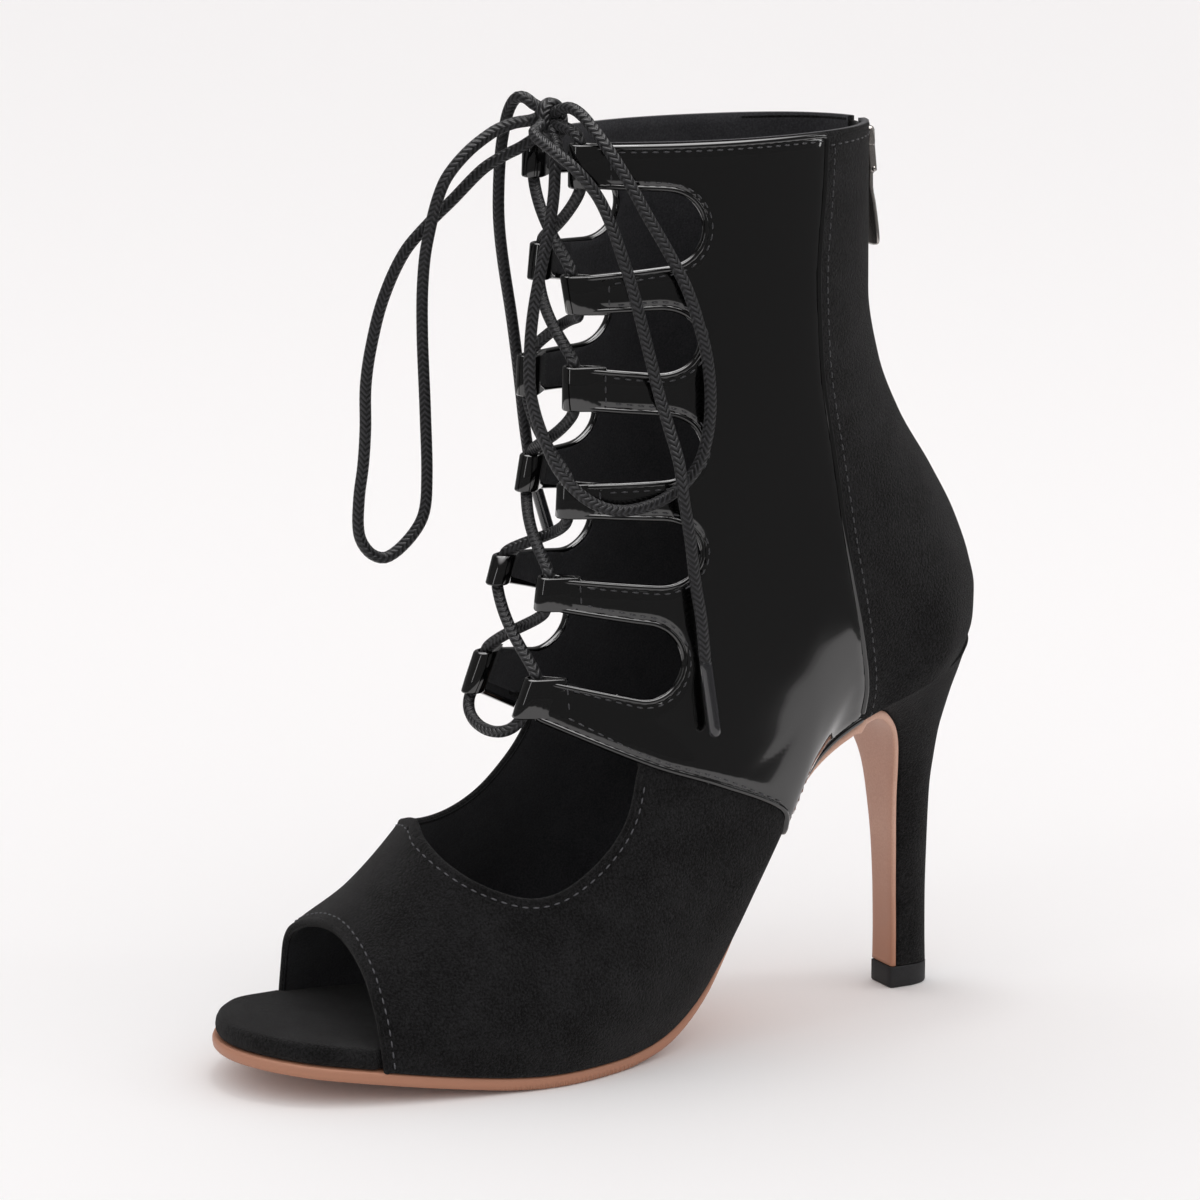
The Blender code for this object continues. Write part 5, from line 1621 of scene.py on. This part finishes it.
    def peep_ring(self, shift: float) -> tuple[Array, Array]:
        """The peep edge at a distance behind its cut, from side to side over the toe.

        Args:
            shift: distance behind the cut.

        Returns:
            Points and outward normals.
        """
        y = along(PEEP_CUT) + shift
        level_top = self.last.ridge(y)[1]
        levels = np.linspace(0.004, level_top, 60)
        halves = []
        for side in Side:
            angles = self.last.angle(y, self.last.row(levels))
            blunt = np.maximum(angles, RIDGE_ANGLE)
            halves.append(
                (self.last.point(levels, angles, side), self.last.normal(levels, blunt, side))
            )
        path = np.vstack([halves[0][0], halves[1][0][::-1][1:]])
        normals = np.vstack([halves[0][1], halves[1][1][::-1][1:]])
        middle = len(halves[0][0]) - 1
        normals[middle] = unit(normals[middle] * (0, 1, 1))
        fine = resample(path, FINE)
        place = reach(path)
        return fine, unit(read(np.linspace(0, place[-1], len(fine)), place, normals))

    def peep_edge(self) -> None:
        """Folded suede edge of the peep opening and the pale stitch row behind it."""
        ring = self.peep_ring(EDGE_WIDTH)
        self.bead("peep_edge", ring, (EDGE_OUT, -WALL - EDGE_IN), EDGE_WIDTH, "suede")
        row = self.peep_ring(STITCH_INSET + 0.0004)
        dress(stitches("thread_peep", [row], self.cloth.pale_thread), "suede")

    def back_rim(self) -> None:
        """Folded suede edge of the back panel at the collar, and its thread."""
        rows = []
        for side in Side:
            seam_y = Pattern(self.last, side).seam()[-1][0]
            row = self.last.row(np.array([1.0]))[0]
            start = math.acos(1 - 2 * (seam_y - row[0]) / (row[2] - row[0]))
            angles = np.linspace(start, math.pi - self.zip_margin, 40)
            rim, sewn = (
                (self.last.point(level, angles, side), self.last.normal(level, angles, side))
                for level in (
                    np.full(len(angles), 1 - drop / COLLAR_RUN)
                    for drop in (EDGE_WIDTH, STITCH_INSET + 0.0006)
                )
            )
            name = f"back_rim_{side.label}"
            self.bead(name, rim, (EDGE_OUT, -WALL - EDGE_IN), EDGE_WIDTH, "suede")
            rows.append(sewn)
        dress(stitches("thread_back_rim", rows, self.cloth.thread), "suede")


@dataclass
class Loops:
    """The folded ends of the straps, which hold the lace."""

    last: Last
    cloth: Wardrobe
    tail: float = 0.0012
    tail_drop: float = 0.0003
    wrap: float = 100.0
    rim: float = 0.0005

    def section(self, side: Side, y: float, z: float) -> tuple:
        """Outer and inner outline of a fold at one height, and the lace channel's centre.

        Args:
            side: its side.
            y: place of the fold's tip.
            z: the height.

        Returns:
            The outer outline, the inner outline and the centre, seen from above.
        """
        level = min(z, COLLAR_HEIGHT - WALL)
        tip = self.last.place(np.array([(y, level)]), side)[0][0]
        tail_y = y + LOOP_REACH + self.tail
        tail, out = self.last.place(np.array([(tail_y, level)]), side)
        tip = np.array(tip[:2])
        tail = np.array(tail[0][:2])
        out = unit(out[0][:2])
        run = unit(tail - tip)
        cross = np.array([-run[1], run[0]])
        if cross @ out < 0:
            cross = -cross
        radius = LACE / 2 + LACE_CLEARANCE + LOOP_SKIN
        centre = tip + run * radius - cross * FOLD_SINK
        outer = []
        for angle in np.radians(np.linspace(self.wrap, -self.wrap, 17)):
            outer.append(centre - run * math.cos(angle) * radius + cross * math.sin(angle) * radius)
        inside = tail - cross * WALL
        outside = tail + cross * (PATENT_TOP - self.tail_drop)
        outer += [outer[-1] + (inside - outer[-1]) * s for s in SHARES]
        outer += [inside, (inside + outside) / 2, outside]
        outer += [outside + (outer[0] - outside) * s for s in SHARES]
        outer = np.array(outer)
        bore = LACE / 2 + LACE_CLEARANCE
        inner = centre + unit(outer - centre) * bore
        return outer, inner, centre

    def build(self) -> None:
        """Builds all twelve folds."""
        for side in Side:
            for number, finger in zip(range(6, 0, -1), FINGERS[side]):
                self.fold(side, number, finger)

    def fold(self, side: Side, number: int, finger: tuple) -> None:
        """One strap's end folded round the lace, with rounded rims.

        Args:
            side: its side.
            number: its number, counted from the foot.
            finger: the finger's row.
        """
        top_y, low_y, top, low = finger
        ends = []
        for share, height in ((low_y, low), (top_y, top)):
            z = min(height, 0.9985) * COLLAR_HEIGHT
            outer, inner, _ = self.section(side, along(share), z)
            ends.append((outer, inner, z))
        (outer_a, inner_a, z_a), (outer_b, inner_b, z_b) = ends
        rim = self.rim / (z_b - z_a)
        profile = [
            (0.0, rim), (0.0, 0.5), (0.0, 1 - rim), (0.18, 1 - rim * 0.3), (0.5, 1.0),
            (0.82, 1 - rim * 0.3), (1.0, 1 - rim), (1.0, rim), (0.82, rim * 0.3), (0.5, 0.0),
            (0.18, rim * 0.3),
        ]
        places = []
        for depth, rise in profile:
            outer = outer_a + (outer_b - outer_a) * rise
            inner = inner_a + (inner_b - inner_a) * rise
            size = np.linalg.norm(inner - outer, axis=1)[:, None]
            reach = np.minimum(depth * LOOP_SKIN / np.maximum(size, 1e-6), 1.0)
            if depth == 1.0:
                reach = np.ones_like(size)
            flat = outer + (inner - outer) * reach
            z = z_a + (z_b - z_a) * rise
            places.append([(x, y, z) for x, y in flat])
        piece = lofted(
            f"strap_fold_{side.label}_{number}", np.array(places), [self.cloth.patent],
            close_rows=True,
        )
        dress(piece, "patent_leather", f"loop_{side.label}_{number}")

    def mouth(self, side: Side, number: int, top: bool) -> Array:
        """Centre of a fold's upper or lower mouth.

        Args:
            side: its side.
            number: its number, counted from the foot.
            top: whether it is the upper one.

        Returns:
            The centre in space.
        """
        top_y, low_y, high, low = FINGERS[side][6 - number]
        share, height = (top_y, high) if top else (low_y, low)
        z = height * COLLAR_HEIGHT
        centre = self.section(side, along(share), z)[2]
        return np.array([centre[0], centre[1], z])


@dataclass
class Sole:
    """Outsole, insole, heel and top piece."""

    last: Last
    cloth: Wardrobe
    count: int = 150
    breast_roll: float = 0.55
    flat: float = 0.40
    lip: float = 0.0002

    def build(self) -> None:
        """Builds the four pieces."""
        self.outsole()
        self.insole()
        self.heel()
        self.top_piece()

    @staticmethod
    def behind(index: int, clearance: float) -> tuple[float, float]:
        """A point behind the breast leather at one of its rows.

        Args:
            index: the row in HEEL_ROWS.
            clearance: gap behind the leather.

        Returns:
            Its Y and Z.
        """
        depth = BREAST_LEATHER * HEEL_ROWS[index][3] + clearance
        face = [(along(row[0]), row[1] * SEAT_HEIGHT) for row in HEEL_ROWS]
        before = face[max(index - 1, 0)]
        after = face[min(index + 1, len(face) - 1)]
        run = (after[0] - before[0], after[1] - before[1])
        size = math.hypot(*run)
        y = face[index][0] - run[1] / size * depth
        z = face[index][1] + run[0] / size * depth
        return (y, face[index][1] if index == len(face) - 1 else z)

    def outsole(self) -> None:
        """Leather outsole with rounded edges, from the toe down to the heel's foot."""
        profile = [
            (0.0012, 0.0), (0.0006, 0.05), (0.00015, 0.2), (0.0, 0.42), (0.0, 0.7),
            (0.0003, 0.93), (0.0007, 1.0),
        ]
        breast = along(HEEL_ROWS[0][0]) - BREAST_LEATHER
        rows = []
        rings = {
            side: [self.last.outline(self.count, side, inset) for inset, _ in profile]
            for side in Side
        }
        for i in range(self.count):
            if rings[Side.LATERAL][3][0][i] > breast:
                break
            sides = []
            for side in Side:
                points = []
                for k, (_, share) in enumerate(profile):
                    y, w = rings[side][k][0][i], rings[side][k][1][i]
                    low = self.last.line(OUTSOLE_FACE, y)[0]
                    high = self.last.joint(y)[0]
                    points.append((side.value * w, y, low + (high - low) * share))
                sides.append(points)
            rows.append(self.across(sides))
        table = np.array(
            [
                (
                    along(row[0]), row[1] * SEAT_HEIGHT, *self.behind(i, 0.0),
                    row[2] * BALL_WIDTH,
                )
                for i, row in enumerate(HEEL_ROWS)
            ]
        )
        fine = smooth(np.arange(len(table)), table, np.linspace(0, len(table) - 1, 70))
        for face_y, face_z, rear_y, rear_z, half in fine:
            sides = []
            for side in Side:
                points = []
                for inset, share in profile:
                    w = max(half - inset * self.breast_roll, 0.0)
                    y = face_y + (rear_y - face_y) * share
                    z = face_z + (rear_z - face_z) * share
                    points.append((side.value * w, y, z))
                sides.append(points)
            rows.append(self.across(sides))
        places = np.array(rows)
        piece = lofted("outsole_leather", places, [self.cloth.sole], caps=True)
        dress(piece, "sole_leather", "outsole")

    @staticmethod
    def across(sides: Sequence[Sequence[tuple]]) -> Array:
        """Closes a section from one edge to the other over its face and its back.

        Args:
            sides: the lateral and the medial edge, each from its foot up.

        Returns:
            The closed section.
        """
        near, far = np.array(sides[0]), np.array(sides[1])
        over = [near[-1] + (far[-1] - near[-1]) * s for s in SHARES]
        under = [far[0] + (near[0] - far[0]) * s for s in SHARES]
        return np.vstack([near, over, far[::-1], under])

    def insole(self) -> None:
        """Suede wrapped insole with a rolled edge round the toe."""
        profile = [
            (0.0013, 0.0), (0.0006, 0.05), (0.0001, 0.22), (0.0, 0.42), (0.0002, 0.66),
            (0.0007, 0.86), (0.0014, 0.97), (0.0023, 1.0),
        ]
        cut_y = along(PEEP_CUT)
        rows = []
        rings = {}
        for side in Side:
            for tuck in (TOE_TUCK, WALL_TUCK):
                rings[side, tuck] = [
                    self.last.outline(self.count, side, tuck + inset) for inset, _ in profile
                ]
        for i in range(self.count):
            middle_y = rings[Side.LATERAL, TOE_TUCK][3][0][i]
            tuck = TOE_TUCK if middle_y < cut_y - TOE_MARGIN else WALL_TUCK
            sides = []
            for side in Side:
                points = []
                for k, (_, share) in enumerate(profile):
                    y, w = (axis[i] for axis in rings[side, tuck][k])
                    low = self.last.joint(y)[0] + GAP
                    thin = min(max((y / LENGTH + 0.5 - 0.40) / 0.20, 0.0), 1.0)
                    z = low + (INSOLE_TOE + (INSOLE_SEAT - INSOLE_TOE) * thin) * share
                    if tuck == WALL_TUCK:
                        level, angle = self.last.find(y, z, side)
                        wall = self.last.half_width(level, angle, side)[0] - INSOLE_WALL
                        w = min(w, max(wall, 0.0))
                    points.append((side.value * w, y, z))
                sides.append(points)
            rows.append(self.across(sides))
        piece = lofted("insole_cover", np.array(rows), [self.cloth.suede], caps=True)
        dress(piece, "suede", "insole")

    def section(self, front: Array, back: Array, half: float) -> Array:
        """A D-shaped section: a nearly flat front, a rounded back.

        Args:
            front: Y and Z of its front.
            back: Y and Z of its back.
            half: half its width.

        Returns:
            The closed section.
        """
        flat = self.flat
        side = [(0.0, 0.0), (0.0, 0.5), (0.0, 0.88), (0.015, 0.955), (0.06, 0.985), (flat, 1.0)]
        for angle in np.linspace(0, math.pi / 2, 16)[1:]:
            side.append((flat + (1 - flat) * math.sin(angle), math.cos(angle)))
        points = []
        for share, width in side:
            y, z = front + (back - front) * share
            points.append((half * width, y, z))
        for share, width in side[-2:0:-1]:
            y, z = front + (back - front) * share
            points.append((-half * width, y, z))
        return np.array(points)

    def heel(self) -> None:
        """Stiletto heel covered in suede."""
        table = np.array(
            [
                (
                    *self.behind(i, GAP), along(row[4]), row[5] * SEAT_HEIGHT,
                    row[6] * BALL_WIDTH,
                )
                for i, row in enumerate(HEEL_ROWS)
            ]
        )
        fine = smooth(np.arange(len(table)), table, np.linspace(0, len(table) - 1, 90))
        rows = [
            self.section(np.array(row[:2]), np.array(row[2:4]), row[4]) for row in fine
        ]
        piece = lofted("heel_cover", np.array(rows), [self.cloth.suede], caps=True)
        dress(piece, "suede", "heel")

    def top_piece(self) -> None:
        """Rubber top piece with eased edges."""
        row = HEEL_ROWS[-1]
        height = row[1] * SEAT_HEIGHT - GAP
        front, back = along(row[0]) - self.lip, along(row[4]) + self.lip
        half = row[6] * BALL_WIDTH + self.lip
        rows = []
        for z, inset in (
            (0.0, 0.0005), (0.0001, 0.0002), (0.0005, 0.0), (height * 0.5, 0.0),
            (height - 0.0003, 0.0), (height - 0.0001, 0.0001), (height, 0.0003),
        ):
            ends = np.array([front + inset, z]), np.array([back - inset, z])
            rows.append(self.section(*ends, half - inset))
        piece = lofted("top_piece_rubber", np.array(rows), [self.cloth.rubber], caps=True)
        dress(piece, "top_piece_rubber", "top_piece")


@dataclass
class Lace:
    """One waxed lace: bar, crossings, top stretches, knot, bow and ends."""

    loops: Loops
    cloth: Wardrobe
    lift: float = 0.40
    bulge: float = 0.0014
    squeeze: float = 0.95
    tip_radius: float = 0.0016
    bar_run: tuple[float, float, float] = (0.0, -0.0150, -0.0255)
    wrap_depth: float = 0.0024
    wrap_height: float = 0.0039
    tuck_share: float = 0.55
    tuck_rise: float = 0.0006

    def build(self) -> None:
        """Builds the free cords first, then what the folds hold."""
        self.cords()
        self.bar()
        for index in range(1, 6):
            self.crossing(index)
        self.top()
        self.knot()

    def cords(self) -> None:
        """Bow loops, free ends and their tips."""
        for name, route in (
            ("bow_loop_medial", BOW_LOOP_MEDIAL), ("bow_loop_lateral", BOW_LOOP_LATERAL),
            ("lace_end_lateral", END_LATERAL), ("lace_end_medial", END_MEDIAL),
        ):
            path = curved(np.array(route) * MM, LACE_STEP)
            piece = lace_tube(f"{name}_braid", path, self.cloth.lace)
            dress(piece, "waxed_lace", name)
            tips = [self.tip(name.split("_")[-1])] if name.startswith("lace_end") else []
            float(reach(path)[-1])

    def tip(self, label: str) -> Object:
        """Acetate tip rolled round a lace's end.

        Args:
            label: the end's side.

        Returns:
            The piece.
        """
        start, end = (np.array(point) * MM for point in AGLETS[label])
        path = start + (end - start) * np.linspace(0.04, 0.97, 14)[:, None]
        normals = carried_normals(path, False)
        half = self.tip_radius, self.tip_radius
        piece = swept(f"lace_tip_{label}", path, normals, half, self.cloth.film, sides=20)
        return dress(piece, "aglet_plastic", f"aglet_{label}")

    def bar(self) -> None:
        """The lowest bar, hanging in a U."""
        drop = np.array([0, 0, 2 * GAP])
        start = self.loops.mouth(Side.MEDIAL, 1, False) + drop
        end = self.loops.mouth(Side.LATERAL, 1, False) + drop
        down = np.array(self.bar_run)
        path = cubic(shares(40), start, down, end, -down)
        dress(lace_tube("lace_bar", path, self.cloth.lace), "waxed_lace", "lace_bottom_bar")

    def strand(self, start: Array, end: Array, forward: float) -> Array:
        """One strand from a fold's top mouth to the next fold's bottom mouth.

        Args:
            start: the lower mouth.
            end: the upper mouth.
            forward: how far it bulges forward.

        Returns:
            Points of the strand.
        """
        drop = np.array([0, 0, GAP])
        start, end = start - drop, end + drop
        lift = np.array([0, 0, np.linalg.norm(end - start) * self.lift])
        t = shares(40)
        path = cubic(t, start, lift, end, lift)
        path[:, 1] -= forward * np.sin(math.pi * t[:, 0]) ** 2
        return path

    def crossing(self, index: int) -> None:
        """Two crossed strands between two rows of folds.

        Args:
            index: the lower row of folds, counted from the foot.
        """
        mouth = self.loops.mouth
        front = self.strand(
            mouth(Side.LATERAL, index, True), mouth(Side.MEDIAL, index + 1, False), self.bulge
        )
        behind = self.strand(
            mouth(Side.MEDIAL, index, True), mouth(Side.LATERAL, index + 1, False), 0.0
        )
        apart = (front[19] + front[20] - behind[19] - behind[20]) / 2
        weight = np.sin(math.pi * shares(40)[:, 0]) ** 2
        behind[:, 1] += (apart[1] + self.squeeze * LACE) * weight
        behind[:, 2] += apart[2] * weight
        node = f"lace_crossing_{index}"
        dress(lace_tube(f"lace_front_{index}", front, self.cloth.lace), "waxed_lace", node)
        dress(lace_tube(f"lace_behind_{index}", behind, self.cloth.lace), "waxed_lace")

    def top(self) -> None:
        """Short stretches from the top folds to the knot."""
        x, y, z = KNOT_CENTRE
        for side in Side:
            start = self.loops.mouth(side, 6, True) - np.array([0, 0, GAP])
            end = np.array([x + side.value * KNOT_HALF[0] * 0.6, y, z - 0.0011])
            size = float(np.linalg.norm(end - start))
            inwards = np.array([-side.value * size, 0, 0])
            path = cubic(shares(24), start, np.array([0, 0, size]), end, inwards)
            piece = lace_tube(f"lace_rise_{side.label}", path, self.cloth.lace)
            dress(piece, "waxed_lace", f"lace_top_{side.label}")

    def knot(self) -> None:
        """The bow's knot: two wraps round a folded core."""
        centre = np.array(KNOT_CENTRE)
        turns = np.linspace(0, 2 * math.pi, 40, endpoint=False)
        for name, shift, lean, nodes in (
            ("lace_wrap_left", -0.0014, 0.0009, ["lace_knot"]),
            ("lace_wrap_right", 0.0016, -0.00072, []),
        ):
            across, up = np.cos(turns), np.sin(turns)
            wrap = shift + lean * up, self.wrap_depth * across, self.wrap_height * up
            path = centre + np.stack(wrap, axis=1)
            piece = lace_tube(name, path, self.cloth.lace, closed=True)
            dress(piece, "waxed_lace", *nodes)
        ends = (
            BOW_LOOP_MEDIAL[0], BOW_LOOP_MEDIAL[-1], BOW_LOOP_LATERAL[0],
            BOW_LOOP_LATERAL[-1], END_LATERAL[0], END_MEDIAL[0],
        )
        for number, end in enumerate(ends, 1):
            start = np.array(end) * MM
            middle = start + (centre - start) * self.tuck_share
            middle[2] += self.tuck_rise
            path = curved([start, middle, centre], FINE)
            piece = lace_tube(f"lace_tuck_{number}", path, self.cloth.lace)
            dress(piece, "waxed_lace")


@dataclass
class Zip:
    """Back zip: tape, coil, slider and pull."""

    last: Last
    cloth: Wardrobe
    tape_margin: float = 0.0008
    tape_depth: float = 0.0005
    tape_wall: float = 0.0009
    coil_pitch: float = 0.0012
    coil_lean: float = 18.0
    coil_size: tuple[float, float, float] = (0.0015, 0.00045, 0.0005)
    pin_radius: float = 0.0007
    pin_half: float = 0.0033
    ear_x: float = 0.00295
    eye_radius: float = 0.00145

    def build(self) -> None:
        """Builds the zip's pieces."""
        self.tape()
        self.coil()
        self.slider()
        self.pull()

    def back(self, z: Array) -> Array:
        """Y of the back seam at heights."""
        return np.interp(z, self.last.rows[:, 3], self.last.rows[:, 2])

    def tape(self) -> None:
        """Two tapes side by side in the seam's slot."""
        z = np.linspace(ZIP_BOTTOM * COLLAR_HEIGHT + GAP, COLLAR_HEIGHT - 0.0012, 60)
        y = self.back(z) - self.tape_depth
        half = ZIP_HALF + self.tape_margin
        deep = -self.tape_wall
        section = [
            (-half, 0.0), (-half * 0.3, 0.0), (0.0, -0.0002), (half * 0.3, 0.0), (half, 0.0),
            (half, deep), (0.0, deep), (-half, deep),
        ]
        places = np.array(
            [[(x, row_y + dy, row_z) for x, dy in section] for row_y, row_z in zip(y, z)]
        )
        dress(
            lofted("zip_tape", places, [self.cloth.coil], caps=True), "zip_coil", "zip_chain"
        )

    def coil(self) -> None:
        """Interlocked coil turns, one to each pitch, from the zip's foot to the slider."""
        work = bmesh.new()
        first, last = ZIP_BOTTOM * COLLAR_HEIGHT + 0.0015, SLIDER_TOP - 0.0085
        turn = Matrix.Rotation(math.radians(self.coil_lean), 4, "Y")
        size = Matrix.Diagonal((*self.coil_size, 1.0))
        for z in np.arange(first, last, self.coil_pitch):
            spot = Matrix.Translation((0, float(self.back(z)) - 0.00035, z))
            bmesh.ops.create_icosphere(
                work, subdivisions=2, radius=1.0, matrix=spot @ turn @ size
            )
        dress(finish_mesh("zip_coil_turns", work, [self.cloth.coil]), "zip_coil")

    @staticmethod
    def rounded(half_x: float, half_y: float, power: float = 0.55, count: int = 20) -> list:
        """A rounded rectangle as (x, y) points.

        Args:
            half_x: half its length.
            half_y: half its width.
            power: lower is squarer.
            count: number of points.

        Returns:
            The points.
        """
        turns = np.linspace(0, 2 * math.pi, count, endpoint=False) + math.pi / count
        return [
            (
                half_x * math.copysign(abs(math.cos(a)) ** power, math.cos(a)),
                half_y * math.copysign(abs(math.sin(a)) ** power, math.sin(a)),
            )
            for a in turns
        ]

    def slider(self) -> None:
        """Slider body that widens to its shoulders, with two ears and the pin."""
        pin_y, pin_z = PIN
        rows = []
        for drop, half, thick in (
            (0.0, 2.6, 0.6), (0.3, 3.2, 1.0), (1.0, 3.6, 1.25), (3.0, 3.7, 1.3),
            (6.0, 3.1, 1.25), (8.2, 2.7, 1.1), (8.8, 2.4, 0.8), (9.0, 2.0, 0.4),
        ):
            z = SLIDER_TOP - drop * MM
            outline = self.rounded(half * MM, thick * MM)
            rows.append([(x, SLIDER_FACE + 0.0013 + y, z) for x, y in outline])
        body = lofted("zip_slider_body", np.array(rows), [self.cloth.metal], caps=True)
        dress(body, "gunmetal", "zip_slider")
        arch = np.array(
            [
                (0, SLIDER_FACE + 0.0022, SLIDER_TOP - 0.0015),
                (0, SLIDER_FACE + 0.0033, SLIDER_TOP - 0.0028),
                (0, SLIDER_FACE + 0.0034, SLIDER_TOP - 0.0055),
                (0, SLIDER_FACE + 0.0022, SLIDER_TOP - 0.0078),
            ]
        )
        path = curved(arch, 0.0005)
        normals = np.tile([0.0, 1.0, 0.2], (len(path), 1))
        crown = swept("zip_slider_crown", path, normals, (0.00045, 0.0011), self.cloth.metal)
        dress(crown, "gunmetal")
        for side in Side:
            x = side.value * self.ear_x
            ends = np.linspace(
                (x, pin_y, pin_z - 0.0004), (x, SLIDER_FACE + 0.0014, SLIDER_TOP - 0.005), 12
            )
            normals = np.tile([0.0, 1.0, 0.2], (len(ends), 1))
            ear = swept(
                f"zip_ear_{side.label}", ends, normals, (0.0011, 0.0005), self.cloth.metal
            )
            dress(ear, "gunmetal")
        ends = np.linspace((-self.pin_half, pin_y, pin_z), (self.pin_half, pin_y, pin_z), 8)
        normals = np.tile([0.0, 0.0, 1.0], (8, 1))
        half = self.pin_radius, self.pin_radius
        pin = swept("zip_pin", ends, normals, half, self.cloth.metal, sides=16)
        dress(pin, "gunmetal")

    def pull(self) -> None:
        """Paddle shaped pull with a raised rim, hanging from the pin."""
        pin_y, pin_z = PIN
        shares = np.array([row[0] for row in PULL_ROWS])
        halves = np.array([row[1] for row in PULL_ROWS])
        fine = np.linspace(0.05, 1.0, 46)
        wide = smooth(shares, halves, fine)[:, 0] * MM
        rows = []
        for share, half in zip(fine, wide):
            z = pin_z - share * PULL_LENGTH
            y = pin_y + PULL_KICK * share**2
            outline = self.rounded(half, PULL_HALF, 0.5, 24)
            rows.append([(px, y + py, z) for px, py in outline])
        tab = lofted("zip_pull_tab", np.array(rows), [self.cloth.metal], caps=True)
        dress(tab, "gunmetal", "zip_pull", body=PULL_BODY)
        turns = np.linspace(0, 2 * math.pi, 24, endpoint=False)
        y = pin_y + self.eye_radius * np.cos(turns)
        z = pin_z + self.eye_radius * np.sin(turns)
        ring = np.stack([np.zeros(24), y, z], axis=1)
        normals = unit(ring - np.array([0.0, pin_y, pin_z]))
        eye = swept(
            "zip_pull_eye", ring, normals, (0.00035, 0.0019), self.cloth.metal, closed=True
        )
        dress(eye, "gunmetal", body=PULL_BODY)


@dataclass
class Studio:
    """Pale floor, soft light and the photograph's camera."""

    eye: tuple[float, float, float] = (1.130, -0.6026, 0.3962)
    target: tuple[float, float, float] = (0.0268, -0.0148, 0.1207)
    lens: float = 154.1

    def build(self) -> None:
        """Sets the camera, the floor, the lights and the surroundings."""
        scene = bpy.context.scene
        scene.view_settings.view_transform = "Standard"
        data = bpy.data.cameras.new("camera")
        data.lens = self.lens
        data.sensor_width = 36.0
        data.clip_start = 0.01
        camera = bpy.data.objects.new("camera", data)
        scene.collection.objects.link(camera)
        camera.matrix_world = self.aimed(self.eye, self.target)
        scene.camera = camera
        self.floor()
        self.world()
        self.lamp("softbox_top", (-0.2, 0.1, 1.8), (0, 0, 0.1), (0.3, 0.3), 2.2)
        self.lamp("softbox_left", (0.45, -1.5, 0.75), (0, 0, 0.12), (0.12, 1.1), 1.3)
        self.lamp("softbox_right", (0.7, 1.3, 0.65), (0, 0.03, 0.14), (0.10, 0.9), 1.2)

    @staticmethod
    def aimed(spot: tuple, aim: tuple) -> Matrix:
        """The place and turn of something at a spot that looks at an aim."""
        look = Vector(aim) - Vector(spot)
        return Matrix.Translation(spot) @ look.to_track_quat("-Z", "Y").to_matrix().to_4x4()

    def lamp(
        self, name: str, spot: tuple, aim: tuple, size: tuple[float, float], power: float
    ) -> None:
        """A soft rectangular light.

        Args:
            name: its name.
            spot: its place.
            aim: what it shines at.
            size: its sides.
            power: its power in watts.
        """
        data = bpy.data.lights.new(name, "AREA")
        data.shape = "RECTANGLE"
        data.size, data.size_y = size
        data.energy = power
        lamp = bpy.data.objects.new(name, data)
        bpy.context.scene.collection.objects.link(lamp)
        lamp.matrix_world = self.aimed(spot, aim)

    def floor(self) -> None:
        """A wide pale floor, painted dark grey only where mirror reflections see it beyond half a
        metre from the boot, as a painted reflection.
        """
        work = bmesh.new()
        bmesh.ops.create_grid(work, x_segments=1, y_segments=1, size=20.0)
        material = bpy.data.materials.new("pale_floor")
        material.use_nodes = True
        tree = material.node_tree
        shader = tree.nodes["Principled BSDF"]
        shader.inputs["Roughness"].default_value = 0.9
        shader.inputs["Specular IOR Level"].default_value = 0.1
        where = add_node(tree, "TexCoord").outputs["Object"]
        far = add_node(
            tree, "VectorMath", {0: where}, operation="LENGTH"
        ).outputs["Value"]
        share = add_node(
            tree, "MapRange",
            {"Value": far, "From Min": 0.48, "From Max": 0.50, "To Min": 0.0, "To Max": 1.0},
        )
        path = add_node(tree, "LightPath")
        # painted reflection: only mirror rays see the floor dark beyond half a metre
        dark = add_node(
            tree, "Math",
            {0: share.outputs[0], 1: path.outputs["Is Glossy Ray"]}, operation="MULTIPLY",
        )
        ramp = add_node(tree, "ValToRGB", {"Fac": dark.outputs[0]})
        ramp.color_ramp.elements[0].color = linear("#f6f5f5")
        # painted reflection: the dark grey that mirror rays see far off
        ramp.color_ramp.elements[1].color = linear("#5c5c5c")
        tree.links.new(ramp.outputs["Color"], shader.inputs["Base Color"])
        floor = finish_mesh("floor", work, [material], closed=False)

    def world(self) -> None:
        """Even light from all round, seen dimmer in mirror reflections."""
        world = bpy.data.worlds.new("studio")
        world.use_nodes = True
        tree = world.node_tree
        back = tree.nodes["Background"]
        back.inputs["Color"].default_value = linear("#fffdfd")
        path = add_node(tree, "LightPath")
        way = add_node(tree, "TexCoord").outputs["Generated"]
        height = add_node(tree, "SeparateXYZ", {0: way}).outputs["Z"]
        ceiling = add_node(
            tree, "MapRange",
            {"Value": height, "From Min": 0.72, "From Max": 0.86, "To Min": 0.13, "To Max": 4.5},
        )
        level = add_node(
            tree, "MapRange",
            {
                "Value": path.outputs["Is Glossy Ray"], "To Min": 0.97,
                "To Max": ceiling.outputs[0],
            },
        )
        tree.links.new(level.outputs[0], back.inputs["Strength"])
        bpy.context.scene.world = world


def main() -> None:
    """Builds the camera and the lace first, then the rest of the boot."""
    logging.basicConfig(level=logging.INFO, format="%(message)s")
    Studio().build()
    last = Last()
    cloth = Wardrobe()
    loops = Loops(last, cloth)
    Lace(loops, cloth).build()
    loops.build()
    Upper(last, cloth).build()
    Sole(last, cloth).build()
    Zip(last, cloth).build()


if __name__ == "__main__":
    main()
